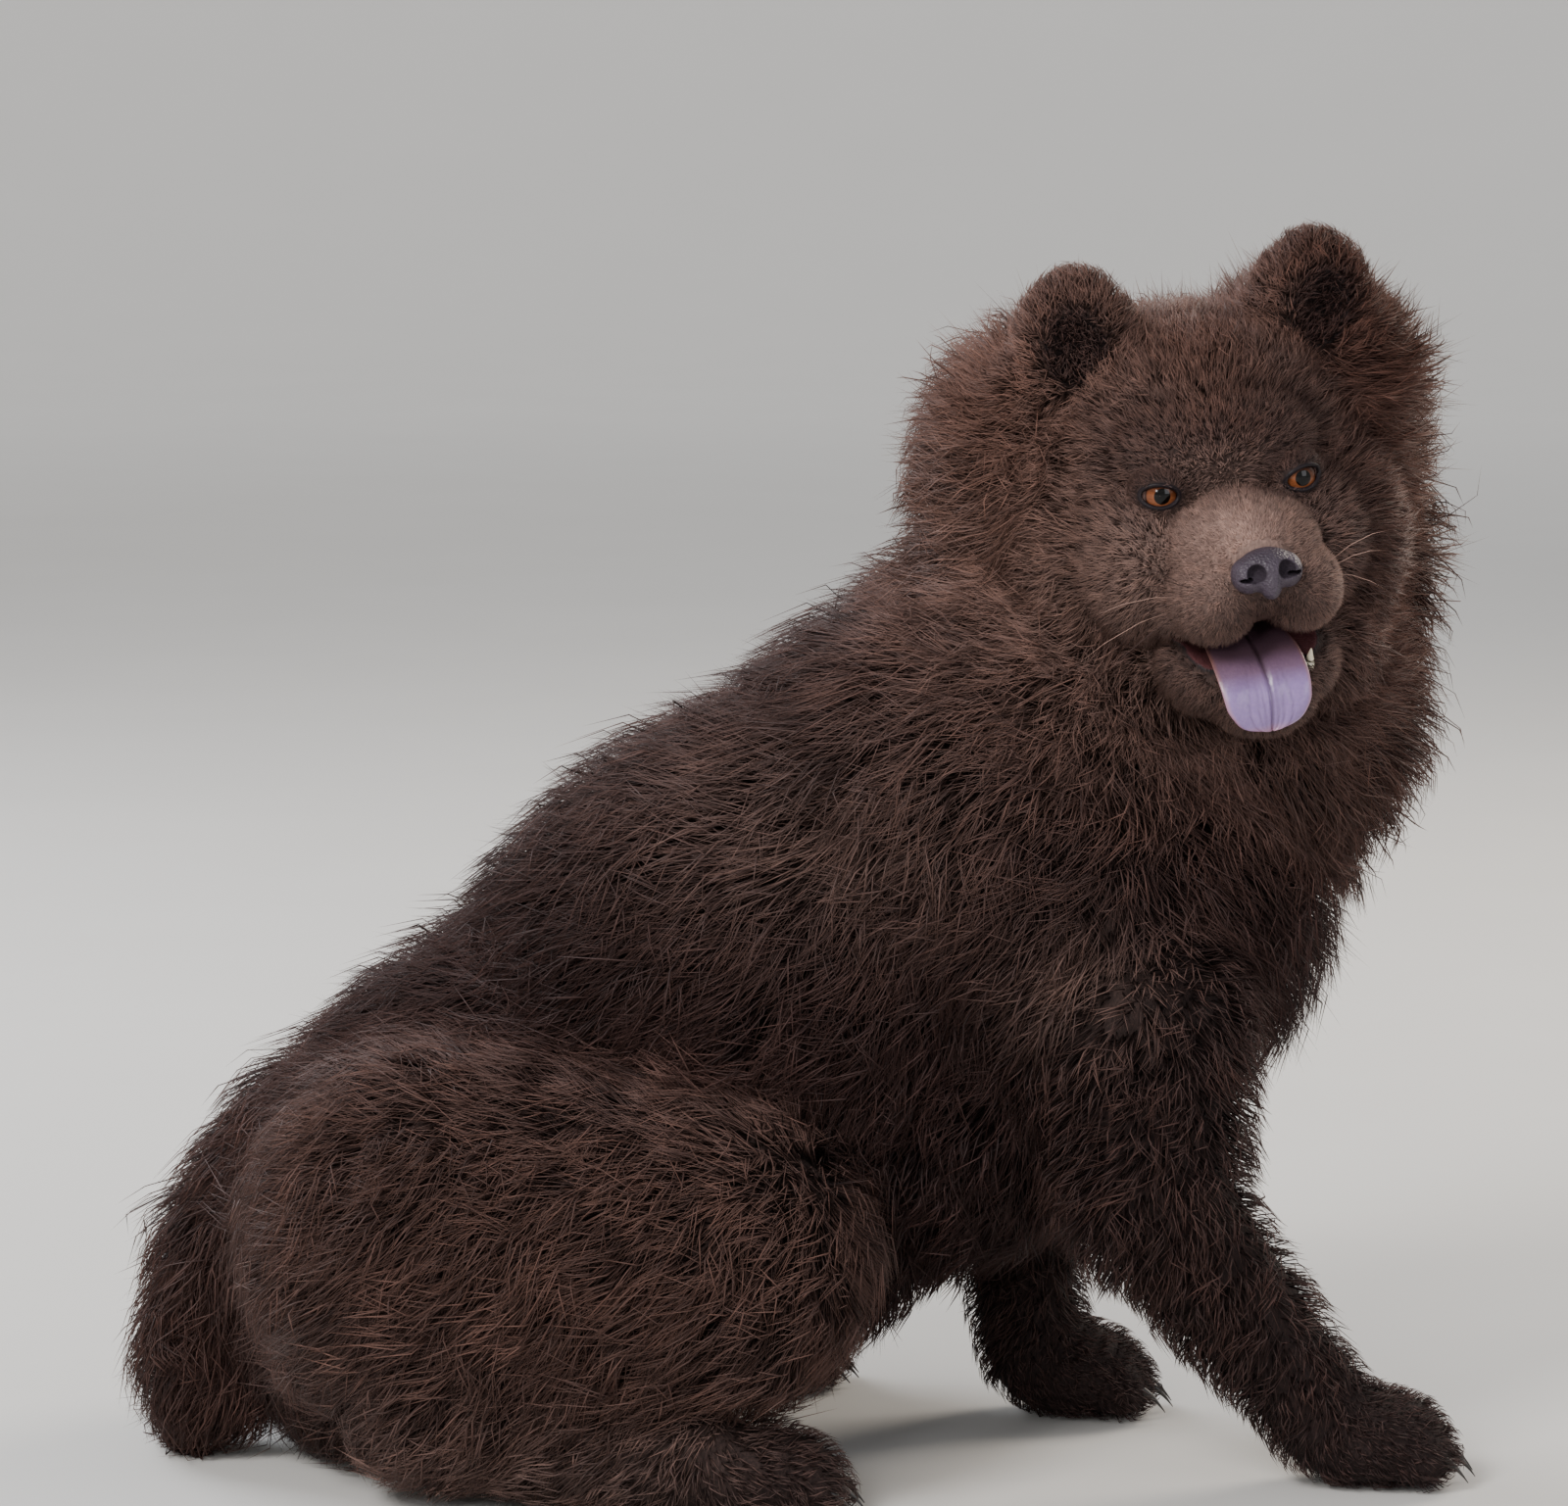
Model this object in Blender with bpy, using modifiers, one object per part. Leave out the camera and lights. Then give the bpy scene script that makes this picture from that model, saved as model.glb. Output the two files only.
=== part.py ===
"""A life-size chow chow, about half a year old, sitting with its head turned to its right.

Metres, +Z up. The body faces +X, the dog's left is +Y, and it sits on the floor at Z = 0.
Flesh is given as lumps and rods, each with the depth of the coat that covers it.
"""

import math
from itertools import product
from typing import NamedTuple

import bmesh
import bpy
import numpy as np
from mathutils import Matrix, Vector
from mathutils.bvhtree import BVHTree

GAP = 0.0003
GROWTH = 0.0004
WELD = 0.000002
CORE_SHARE = 0.5

EYES_MIDDLE = (0.191, -0.105, 0.444)
HEAD_YAW = 14.0
HEAD_PITCH = 6.0
HEAD_ROLL = 8.3

BODY_VOXEL = 0.011
HEAD_VOXEL = 0.003
BODY_FACES = 1700
HEAD_FACES = 1350

EYEBALL_RADIUS = 0.0100
EYE_SIDE = 0.0317
EYE_BACK = 0.0085
EYE_TOE_OUT = 12.0
LID_THICKNESS = 0.0022
EYE_OPENING = (0.0160, 0.0105)


class Lump(NamedTuple):
    """An ellipsoid of flesh. Pitch lifts its front end, in degrees."""

    centre: tuple
    radii: tuple
    pitch: float
    coat: float


class Rod(NamedTuple):
    """Flesh round a straight bone, from one ball to another."""

    start: tuple
    end: tuple
    start_radius: float
    end_radius: float
    coat: float


TORSO = [
    Lump((-0.165, 0, 0.094), (0.064, 0.080, 0.080), 0, 0.038),
    Lump((-0.112, 0, 0.136), (0.090, 0.078, 0.080), 38, 0.038),
    Lump((-0.010, 0, 0.205), (0.138, 0.084, 0.100), 42, 0.042),
    Lump((0.082, 0, 0.275), (0.082, 0.086, 0.090), 40, 0.044),
    Lump((0.152, 0, 0.258), (0.060, 0.070, 0.070), 0, 0.048),
    Lump((0.075, 0, 0.168), (0.095, 0.070, 0.060), 25, 0.036),
    Lump((-0.030, 0, 0.112), (0.090, 0.070, 0.060), 10, 0.034),
    Lump((0.128, -0.068, 0.232), (0.045, 0.034, 0.080), 15, 0.028),
    Lump((0.118, 0.068, 0.232), (0.045, 0.034, 0.080), 5, 0.028),
]
FORELEG_RIGHT = [
    Rod((0.156, -0.080, 0.205), (0.160, -0.084, 0.132), 0.040, 0.033, 0.020),
    Rod((0.160, -0.084, 0.132), (0.219, -0.072, 0.056), 0.032, 0.022, 0.013),
    Rod((0.219, -0.072, 0.056), (0.238, -0.070, 0.030), 0.022, 0.023, 0.008),
    Lump((0.257, -0.068, 0.021), (0.035, 0.028, 0.021), 0, 0.005),
]
FORELEG_LEFT = [
    Rod((0.130, 0.080, 0.205), (0.110, 0.082, 0.130), 0.040, 0.032, 0.020),
    Rod((0.110, 0.082, 0.130), (0.110, 0.070, 0.054), 0.031, 0.022, 0.012),
    Rod((0.110, 0.070, 0.054), (0.116, 0.067, 0.030), 0.022, 0.023, 0.008),
    Lump((0.132, 0.066, 0.021), (0.034, 0.028, 0.021), 0, 0.005),
]
HINDLEG_RIGHT = [
    Rod((-0.146, -0.074, 0.110), (-0.030, -0.106, 0.110), 0.070, 0.050, 0.032),
    Rod((-0.030, -0.108, 0.106), (-0.150, -0.108, 0.050), 0.046, 0.026, 0.026),
    Rod((-0.150, -0.108, 0.040), (-0.040, -0.124, 0.026), 0.022, 0.020, 0.014),
    Lump((-0.012, -0.126, 0.019), (0.036, 0.026, 0.019), 0, 0.008),
]
TAIL = [
    Rod((-0.205, 0, 0.140), (-0.244, 0, 0.085), 0.020, 0.015, 0.034),
    Rod((-0.244, 0, 0.085), (-0.258, -0.010, 0.036), 0.015, 0.010, 0.034),
]
NECK = [
    Rod((0.122, 0.000, 0.318), (0.172, 0.004, 0.400), 0.074, 0.056, 0.046),
    Lump((0.196, -0.004, 0.334), (0.052, 0.048, 0.048), 0, 0.048),
]
RUFF = Lump((-0.092, 0, -0.054), (0.026, 0.090, 0.086), 0, 0.046)
NAPE = Lump((-0.105, 0, -0.012), (0.040, 0.056, 0.046), 0, 0.032)

SKULL = [
    Lump((-0.058, 0, 0.006), (0.052, 0.058, 0.052), 0, 0.016),
    Lump((-0.024, 0, 0.014), (0.024, 0.044, 0.026), 0, 0.006),
    Lump((-0.036, 0.036, -0.032), (0.042, 0.028, 0.036), 0, 0.009),
    Lump((-0.036, -0.036, -0.032), (0.042, 0.028, 0.036), 0, 0.009),
    Lump((0.006, 0, -0.021), (0.034, 0.026, 0.020), -10, 0.003),
    Lump((0.018, 0, -0.034), (0.022, 0.027, 0.018), 0, 0.003),
    Lump((0.016, 0.019, -0.042), (0.026, 0.018, 0.019), 0, 0.003),
    Lump((0.016, -0.019, -0.042), (0.026, 0.018, 0.019), 0, 0.003),
    Lump((-0.030, 0, -0.070), (0.038, 0.034, 0.026), -10, 0.010),
    Lump((-0.002, 0, -0.080), (0.034, 0.028, 0.018), -18, 0.005),
    Lump((0.014, 0, -0.091), (0.020, 0.022, 0.013), -10, 0.004),
]
NOSE = Lump((0.041, 0, -0.027), (0.0100, 0.0145, 0.0120), 0, 0)
NOSTRIL = Lump((0.0505, 0.0062, -0.0275), (0.0060, 0.0028, 0.0036), 0, 0)
NOSTRIL_SLIT = Lump((0.0465, 0.0105, -0.0290), (0.0050, 0.0040, 0.0014), 0, 0)
MOUTH = Lump((0.022, 0, -0.0655), (0.040, 0.027, 0.0085), -20, 0)
EAR = Lump((-0.052, 0.052, 0.060), (0.017, 0.030, 0.037), 0, 0)
EAR_CUP = Lump((-0.036, 0.051, 0.063), (0.012, 0.016, 0.023), 0, 0)
EARS_SHIFT = 0.005

TONGUE_PATH = [
    (-0.006, -0.0635), (0.010, -0.0660), (0.024, -0.0705), (0.034, -0.0790), (0.037, -0.0890),
    (0.0355, -0.0975),
]
TONGUE_SIDE = -0.004
TONGUE_HALF_WIDTH = 0.0200
TONGUE_HALF_THICKNESS = 0.0034

TOES = 4
TOE_WIDTH = 0.0130
CLAW_LENGTH = 0.012
CLAW_RADIUS = 0.0032
CLAW_TIP_HEIGHT = 0.004
CLAW_SUNK = 0.62

CANINE_ROOT = (0.0190, 0.0200, -0.0860)
CANINE_TIP = (0.0225, 0.0215, -0.0700)
CANINE_RADIUS = 0.0031

HIND_REGION = Lump((-0.095, -0.200, 0.060), (0.205, 0.150, 0.165), 0, 0)
TAIL_REGION = Lump((-0.310, 0, 0.060), (0.085, 0.085, 0.150), 0, 0)
LEG_ROOM = 0.010
NECK_PLANE_POINT = (0.125, 0, 0.335)
NECK_PLANE_LEAN = 20.0
FAR = 0.6

JAW_HINGE = (-0.022, 0, -0.0530)
JAW_LEAN = -19.0

COAT_COLOUR = (0.030, 0.021, 0.017)
MUZZLE_COLOUR = (0.062, 0.048, 0.042)
NOSE_COLOUR = (0.012, 0.013, 0.016)
TONGUE_COLOUR = (0.250, 0.255, 0.330)
EYE_COLOUR = (0.160, 0.060, 0.015)
TOOTH_COLOUR = (0.700, 0.620, 0.480)
LOOKS = {
    "nose": (NOSE_COLOUR, 0.35),
    "tongue": (TONGUE_COLOUR, 0.35),
    "eye_right": (EYE_COLOUR, 0.05),
    "eye_left": (EYE_COLOUR, 0.05),
    "canine_left": (TOOTH_COLOUR, 0.25),
    "lower_jaw": (MUZZLE_COLOUR, 0.9),
}


def turned(pitch):
    """A turn that lifts the front end by this many degrees."""
    return Matrix.Rotation(math.radians(-pitch), 4, "Y")


def head_place():
    """The head's frame: its X is forward, Y the dog's left and Z up, from the point between the eyes."""
    yaw, pitch, roll = (math.radians(angle) for angle in (HEAD_YAW, HEAD_PITCH, HEAD_ROLL))
    forward = Vector((math.sin(yaw) * math.cos(pitch), -math.cos(yaw) * math.cos(pitch), -math.sin(pitch)))
    level_left = Vector((math.cos(yaw), math.sin(yaw), 0))
    level_up = forward.cross(level_left)
    left = level_left * math.cos(roll) + level_up * math.sin(roll)
    up = level_up * math.cos(roll) - level_left * math.sin(roll)
    axes = Matrix((forward, left, up)).transposed().to_4x4()
    return Matrix.Translation(EYES_MIDDLE) @ axes


HEAD = head_place()
BODY = Matrix.Identity(4)


def mirror_lump(lump, side):
    """The lump itself for side 1, and its mirror image for side -1."""
    x, y, z = lump.centre
    return lump._replace(centre=(x, side * y, z))


def mirrored(mass):
    """The same flesh on the other side of the body."""
    if isinstance(mass, Lump):
        return mirror_lump(mass, -1)
    (x, y, z), (end_x, end_y, end_z) = mass.start, mass.end
    return mass._replace(start=(x, -y, z), end=(end_x, -end_y, end_z))


HINDLEG_LEFT = [mirrored(mass) for mass in HINDLEG_RIGHT]


def new_object(name, mesh):
    found = bpy.data.objects.new(name, mesh)
    bpy.context.scene.collection.objects.link(found)
    return found


def remove(obj):
    mesh = obj.data
    bpy.data.objects.remove(obj)
    bpy.data.meshes.remove(mesh)


def object_from(bm, name):
    bmesh.ops.recalc_face_normals(bm, faces=bm.faces)
    mesh = bpy.data.meshes.new(name)
    bm.to_mesh(mesh)
    bm.free()
    return new_object(name, mesh)


def add_ball(bm, matrix, segments=32, rings=20):
    return bmesh.ops.create_uvsphere(
        bm, u_segments=segments, v_segments=rings, radius=1, matrix=matrix
    )["verts"]


def lump_matrix(place, lump, extra=0.0):
    """Carries a unit ball to the lump, grown by extra."""
    radii = [radius + extra for radius in lump.radii]
    return place @ Matrix.Translation(lump.centre) @ turned(lump.pitch) @ Matrix.Diagonal((*radii, 1))


def add_rod(bm, place, rod, extra):
    """The convex hull of the rod's two balls, grown by extra."""
    hull = bmesh.new()
    for centre, radius in ((rod.start, rod.start_radius), (rod.end, rod.end_radius)):
        size = Matrix.Scale(radius + extra, 4)
        add_ball(hull, place @ Matrix.Translation(centre) @ size, 20, 12)
    bmesh.ops.delete(hull, geom=hull.edges[:], context="EDGES_FACES")
    bmesh.ops.convex_hull(hull, input=hull.verts[:])
    loose = [vert for vert in hull.verts if not vert.link_faces]
    bmesh.ops.delete(hull, geom=loose, context="VERTS")
    mesh = bpy.data.meshes.new("rod")
    hull.to_mesh(mesh)
    hull.free()
    bm.from_mesh(mesh)
    bpy.data.meshes.remove(mesh)


def apply_modifiers(obj):
    graph = bpy.context.evaluated_depsgraph_get()
    mesh = bpy.data.meshes.new_from_object(obj.evaluated_get(graph))
    obj.modifiers.clear()
    old = obj.data
    obj.data = mesh
    bpy.data.meshes.remove(old)


def triangulated(obj):
    bm = bmesh.new()
    bm.from_mesh(obj.data)
    bmesh.ops.triangulate(bm, faces=bm.faces[:])
    bm.to_mesh(obj.data)
    bm.free()


def fused(name, masses, voxel, smoothing, faces):
    """One closed skin round (place, mass, share of its coat), with about this many triangles."""
    bm = bmesh.new()
    for place, mass, share in masses:
        extra = share * mass.coat
        if isinstance(mass, Rod):
            add_rod(bm, place, mass, extra)
        else:
            add_ball(bm, lump_matrix(place, mass, extra))
    obj = object_from(bm, name)
    remesh = obj.modifiers.new("fuse", "REMESH")
    remesh.mode = "VOXEL"
    remesh.voxel_size = voxel
    smooth = obj.modifiers.new("soften", "SMOOTH")
    smooth.factor = 0.5
    smooth.iterations = smoothing
    apply_modifiers(obj)
    triangulated(obj)
    thin = obj.modifiers.new("thin", "DECIMATE")
    thin.ratio = min(1.0, faces / len(obj.data.polygons))
    apply_modifiers(obj)
    return obj


def copy_of(obj, growth=0.0):
    """A copy whose points move out along their normals by this much."""
    mesh = obj.data.copy()
    if growth:
        count = len(mesh.vertices)
        points = np.empty(count * 3, np.float32)
        normals = np.empty(count * 3, np.float32)
        mesh.vertices.foreach_get("co", points)
        mesh.vertex_normals.foreach_get("vector", normals)
        mesh.vertices.foreach_set("co", points + growth * normals)
        mesh.update()
    return new_object(obj.name + "_copy", mesh)


def combine(target, tool, operation, keep_tool=False):
    """Joins, cuts or crosses the target with one closed mesh."""
    boolean = target.modifiers.new(operation.lower(), "BOOLEAN")
    boolean.operation = operation
    boolean.solver = "MANIFOLD"
    boolean.object = tool
    apply_modifiers(target)
    if not keep_tool:
        remove(tool)


def lump_object(place, lump, extra=0.0, segments=20, rings=12):
    bm = bmesh.new()
    add_ball(bm, lump_matrix(place, lump, extra), segments, rings)
    return object_from(bm, "lump")


def box_object(place, low, high, extra=0.0):
    """A box between two corners of the place's own axes, grown by extra."""
    low = Vector(low) - Vector((extra,) * 3)
    high = Vector(high) + Vector((extra,) * 3)
    size = high - low
    matrix = place @ Matrix.Translation((low + high) / 2) @ Matrix.Diagonal((*size, 1))
    bm = bmesh.new()
    bmesh.ops.create_cube(bm, size=1, matrix=matrix)
    return object_from(bm, "box")


def loft(rings):
    """A closed mesh through rings of as many points each, with a fan over each end ring."""
    bm = bmesh.new()
    loops = [[bm.verts.new(point) for point in ring] for ring in rings]
    sides = len(loops[0])
    for near, far in zip(loops, loops[1:]):
        for side in range(sides):
            after = (side + 1) % sides
            bm.faces.new((near[side], near[after], far[after]))
            bm.faces.new((near[side], far[after], far[side]))
    for loop in (loops[0], loops[-1]):
        middle = bm.verts.new(sum((vert.co for vert in loop), Vector()) / sides)
        for side in range(sides):
            bm.faces.new((loop[side], loop[(side + 1) % sides], middle))
    return bm


def keep_largest(obj):
    """Drops every closed surface of the mesh but the one that holds most.

    Surfaces that only touch along an edge count as apart.
    """
    bm = bmesh.new()
    bm.from_mesh(obj.data)
    bmesh.ops.remove_doubles(bm, verts=bm.verts[:], dist=WELD)
    bmesh.ops.triangulate(bm, faces=bm.faces[:])
    seen = set()
    islands = []
    for face in bm.faces:
        if face in seen:
            continue
        island, stack = [], [face]
        seen.add(face)
        while stack:
            at = stack.pop()
            island.append(at)
            for edge in at.edges:
                for other in edge.link_faces if len(edge.link_faces) == 2 else ():
                    if other not in seen:
                        seen.add(other)
                        stack.append(other)
        volume = sum(f.verts[0].co.dot(f.verts[1].co.cross(f.verts[2].co)) for f in island)
        islands.append((abs(volume), island))
    islands.sort(key=lambda item: item[0])
    for _, island in islands[:-1]:
        bmesh.ops.delete(bm, geom=island, context="FACES")
    bm.to_mesh(obj.data)
    bm.free()



def neck_place():
    """A frame whose XY plane parts the neck from the torso."""
    return Matrix.Translation(NECK_PLANE_POINT) @ Matrix.Rotation(math.radians(NECK_PLANE_LEAN), 4, "Y")


def neck_region(extra=0.0):
    return box_object(neck_place(), (-FAR, -FAR, 0), (FAR, FAR, FAR), extra)


def leg_region(masses, extra=0.0):
    """The room round the lower leg and the paw, past their coat."""
    pieces = []
    for mass in masses[1:]:
        bm = bmesh.new()
        if isinstance(mass, Rod):
            add_rod(bm, BODY, mass, mass.coat + LEG_ROOM + extra)
        else:
            add_ball(bm, lump_matrix(BODY, mass, mass.coat + LEG_ROOM + extra), 20, 12)
        pieces.append(object_from(bm, "room"))
    whole = pieces[0]
    for piece in pieces[1:]:
        combine(whole, piece, "UNION")
    return whole


def crossed(whole, region, name):
    """What the whole and the region share, as a new object."""
    part = copy_of(whole)
    combine(part, region, "INTERSECT")
    part.name = name
    return part


def body_masses(share):
    """Every mass but the head's, with this share of its coat where the coat grows long."""
    long_haired = TORSO + HINDLEG_RIGHT[:2] + HINDLEG_LEFT[:2] + TAIL + NECK
    short_haired = FORELEG_RIGHT + FORELEG_LEFT + HINDLEG_RIGHT[2:] + HINDLEG_LEFT[2:]
    masses = [(BODY, mass, share) for mass in long_haired]
    masses += [(BODY, mass, 1.0) for mass in short_haired]
    masses += [(HEAD, RUFF, share), (HEAD, NAPE, share)]
    return masses


class Coat(NamedTuple):
    """How the locks of a node grow: their spacing, length, width and thickness, and the way they lie."""

    spacing: float
    length: float
    width: float
    thickness: float
    lie: object


LOCK_SIDES = 4
LOCK_HEIGHTS = (-0.005, 0.56, 0.90, 0.96)
LOCK_WIDTHS = (0.86, 1.00, 0.72)
LOCK_THICKNESSES = (0.70, 1.00, 0.75)
LOCK_KEELS = ((-0.008, -0.003, 0.006), (-0.008, 0.002, 0.008), (-0.008, 0.008, 0.012))
LOCK_CLEARANCE = 0.0006
LOCK_STRAIGHTNESS = 0.5
LOCK_LENGTHS = (1.0, 0.82, 0.66, 0.5)
LOCK_LIFTS = (0.0, 0.005)
FLOOR_CLEARANCE = 0.002
LOWEST_ROOT = 0.030
SEED = 11
CANDIDATES = 12000


def depth_beyond(place, mass, point):
    """How far the point lies outside the mass's flesh, about."""
    local = place.inverted() @ point
    if isinstance(mass, Rod):
        start, end = Vector(mass.start), Vector(mass.end)
        axis = end - start
        along = min(max((local - start).dot(axis) / axis.length_squared, 0), 1)
        radius = mass.start_radius + along * (mass.end_radius - mass.start_radius)
        return (local - start.lerp(end, along)).length - radius
    local = turned(mass.pitch).inverted() @ (local - Vector(mass.centre))
    scaled = Vector([value / radius for value, radius in zip(local, mass.radii)])
    return (scaled.length - 1) * local.length / max(scaled.length, 1e-6)


def coat_depth(point, masses):
    """The coat of the mass that the point lies nearest to."""
    return min(masses, key=lambda item: depth_beyond(item[0], item[1], point))[1].coat


def blended(low, high, value):
    part = min(max((value - low) / (high - low), 0), 1)
    return part * part * (3 - 2 * part)


def torso_lie(point, normal):
    """Back along the spine, falling on the flanks and the chest."""
    chest = blended(0.10, 0.19, point.x)
    flank = 1 - max(normal.z, 0)
    backward = Vector((-0.80, 0, -0.45)) + Vector((0, 0, -0.55)) * flank
    chestward = Vector((-0.12, 0, -1.0))
    return backward.lerp(chestward, chest)


def neck_lie(point, normal):
    """Out and back from the face all round, falling a little there and wholly down the nape."""
    local = HEAD.inverted() @ point
    behind = blended(0.105, 0.150, -local.x)
    around = HEAD.to_3x3() @ Vector((0, local.y, local.z + 0.030)).normalized()
    backward = HEAD.to_3x3() @ Vector((-1, 0, 0))
    return around * (0.90 - 0.80 * behind) + backward * 0.60 + Vector((0, 0, -0.35 - 0.65 * behind))


def thigh_lie(point, normal):
    return Vector((-0.75, normal.y * 0.2, -0.60))


def tail_lie(point, normal):
    return Vector((-0.35, normal.y * 0.3, -0.9))


COATS = {
    "neck": Coat(0.041, 0.082, 0.047, 0.0110, neck_lie),
    "torso": Coat(0.061, 0.104, 0.060, 0.0120, torso_lie),
    "hindleg_right": Coat(0.058, 0.080, 0.050, 0.0095, thigh_lie),
    "hindleg_left": Coat(0.058, 0.080, 0.050, 0.0095, thigh_lie),
    "tail": Coat(0.033, 0.070, 0.038, 0.0090, tail_lie),
}


def tree_of(obj):
    mesh = obj.data
    points = [vert.co.copy() for vert in mesh.vertices]
    return BVHTree.FromPolygons(points, [tuple(face.vertices) for face in mesh.polygons])


def scattered(obj, skin, spacing, rng):
    """Roots spread evenly over the faces that the node shares with the body's skin."""
    mesh = obj.data
    mesh.calc_loop_triangles()
    corners = np.array([[mesh.vertices[index].co[:] for index in face.vertices]
                        for face in mesh.loop_triangles])
    areas = np.linalg.norm(np.cross(corners[:, 1] - corners[:, 0], corners[:, 2] - corners[:, 0]), axis=1)
    picks = rng.choice(len(areas), CANDIDATES, p=areas / areas.sum())
    first, second = rng.random((2, CANDIDATES))
    over = first + second > 1
    first[over], second[over] = 1 - first[over], 1 - second[over]
    spots = (corners[picks, 0] + first[:, None] * (corners[picks, 1] - corners[picks, 0])
             + second[:, None] * (corners[picks, 2] - corners[picks, 0]))
    roots = []
    for spot in spots:
        point = Vector(spot)
        near, normal, _, distance = skin.find_nearest(point)
        if distance > 0.0003 or normal.z < -0.75 or point.z < LOWEST_ROOT:
            continue
        if all((point - root).length > spacing for root, _ in roots):
            roots.append((point, normal))
    return roots


def follows(before, centre, lie, across):
    """Whether a lock goes on from its last ring without a kink or a twist."""
    last_centre, last_lie, last_across = before
    step = (centre - last_centre).normalized()
    return min(step.dot(last_lie), step.dot(lie), across.dot(last_across)) > LOCK_STRAIGHTNESS


def lock_rings(root, coat, skin, masses, length, lift, keels, turn, grown=0.0):
    """The rings and the tip of one lock, which follows the skin from its sunk root to the coat's tips.

    Keels are the heights over the skin of the lock's underside, ring by ring. A lock that would kink
    or twist gives None.
    """
    point, normal = root
    steps = len(LOCK_HEIGHTS) - 1
    rings = []
    before = None
    for index, share in enumerate(LOCK_HEIGHTS):
        lie = coat.lie(point, normal)
        lie = Matrix.Rotation(turn, 3, normal) @ (lie - normal * lie.dot(normal))
        lie.normalize()
        across = lie.cross(normal)
        reach = (1 - CORE_SHARE) * coat_depth(point, masses)
        height = share if share < 0 else share * reach + lift * index / steps
        centre = point + normal * height
        centre.z = max(centre.z, FLOOR_CLEARANCE)
        if before and not follows(before, centre, lie, across):
            return None
        before = (centre, lie, across)
        if index == steps:
            return rings, centre + lie * grown
        half_width = coat.width * LOCK_WIDTHS[index] / 2 + grown
        half_thickness = coat.thickness * LOCK_THICKNESSES[index] / 2 + grown
        keel = min(keels[index], height - half_thickness) - grown
        ring = [centre + across * half_width, centre + normal * half_thickness,
                centre - across * half_width, point + normal * keel]
        for corner in ring:
            corner.z = max(corner.z, FLOOR_CLEARANCE)
        rings.append(ring)
        point, normal, _, _ = skin.find_nearest(point + lie * (length / steps))


def lock_mesh(rings, tip):
    bm = bmesh.new()
    loops = [[bm.verts.new(point) for point in ring] for ring in rings]
    end = bm.verts.new(tip)
    for near, far in zip(loops, loops[1:]):
        for side in range(LOCK_SIDES):
            after = (side + 1) % LOCK_SIDES
            bm.faces.new((near[side], near[after], far[after]))
            bm.faces.new((near[side], far[after], far[side]))
    for side in range(LOCK_SIDES):
        bm.faces.new((loops[-1][side], loops[-1][(side + 1) % LOCK_SIDES], end))
    bm.faces.new(loops[0][:3])
    bm.faces.new((loops[0][0], loops[0][2], loops[0][3]))
    bmesh.ops.recalc_face_normals(bm, faces=bm.faces)
    return bm


def crosses(bm, trees):
    tree = BVHTree.FromBMesh(bm)
    return any(tree.overlap(other) for other in trees)


def grow_locks(name, nodes, skin, masses, taken, rng):
    """Sets the node's locks on its core, each clear of every other node and of their locks."""
    coat = COATS[name]
    others = [tree_of(obj) for other, obj in nodes.items() if other != name]
    others += [tree for owner, tree in taken if owner != name]
    pieces = bpy.data.collections.new(name + "_locks")
    bpy.context.scene.collection.children.link(pieces)
    for root in scattered(nodes[name], skin, coat.spacing, rng):
        size = rng.uniform(0.88, 1.12)
        turn = rng.normal(0, 0.14)
        for share, keels, lift in product(LOCK_LENGTHS, LOCK_KEELS, LOCK_LIFTS):
            shape = (root, coat, skin, masses, coat.length * size * share, lift, keels, turn)
            outline = lock_rings(*shape)
            if outline is None:
                continue
            test = lock_mesh(*lock_rings(*shape, LOCK_CLEARANCE))
            blocked = crosses(test, others)
            test.free()
            if not blocked:
                lock = lock_mesh(*outline)
                taken.append((name, BVHTree.FromBMesh(lock)))
                obj = object_from(lock, name + "_lock")
                bpy.context.scene.collection.objects.unlink(obj)
                pieces.objects.link(obj)
                break
    union = nodes[name].modifiers.new("locks", "BOOLEAN")
    union.operation = "UNION"
    union.solver = "MANIFOLD"
    union.operand_type = "COLLECTION"
    union.collection = pieces
    apply_modifiers(nodes[name])
    for obj in list(pieces.objects):
        remove(obj)
    bpy.data.collections.remove(pieces)


def tongue_form(growth=0.0):
    """A flat tongue that bends over the lower lip, with a groove down its middle."""
    sides = 12
    rings = []
    steps = 11
    path = smooth_path(TONGUE_PATH, steps)
    for index, (forward, up) in enumerate(path):
        along = index / (steps - 1)
        before = path[max(index - 1, 0)]
        after = path[min(index + 1, steps - 1)]
        tangent = Vector((after[0] - before[0], 0, after[1] - before[1])).normalized()
        face = Vector((-tangent.z, 0, tangent.x))
        width = TONGUE_HALF_WIDTH * (0.80 + 0.20 * math.sin(math.pi * min(along * 1.2, 1.0) / 1.2))
        if along > 0.72:
            width *= math.sqrt(max(0.03, 1 - ((along - 0.72) / 0.285) ** 2))
        thickness = TONGUE_HALF_THICKNESS
        ring = []
        for side in range(sides):
            angle = 2 * math.pi * side / sides
            across = math.cos(angle)
            height = math.sin(angle)
            groove = 0.0011 * math.exp(-((across / 0.18) ** 2)) * max(height, 0)
            offset = face * ((thickness + growth) * height - groove)
            side_place = TONGUE_SIDE + (width + growth) * across
            ring.append(HEAD @ (Vector((forward, side_place, up)) + offset))
        rings.append(ring)
    return object_from(loft(rings), "tongue")


def smooth_path(points, steps):
    """Points on a Catmull-Rom curve through the given ones."""
    padded = [points[0], *points, points[-1]]
    found = []
    for index in range(steps):
        at = index / (steps - 1) * (len(points) - 1)
        first = min(int(at), len(points) - 2)
        part = at - first
        a, b, c, d = (np.array(padded[first + step]) for step in range(4))
        point = 0.5 * (2 * b + (c - a) * part + (2 * a - 5 * b + 4 * c - d) * part**2
                       + (3 * b - a - 3 * c + d) * part**3)
        found.append(tuple(float(value) for value in point))
    return found


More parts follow.
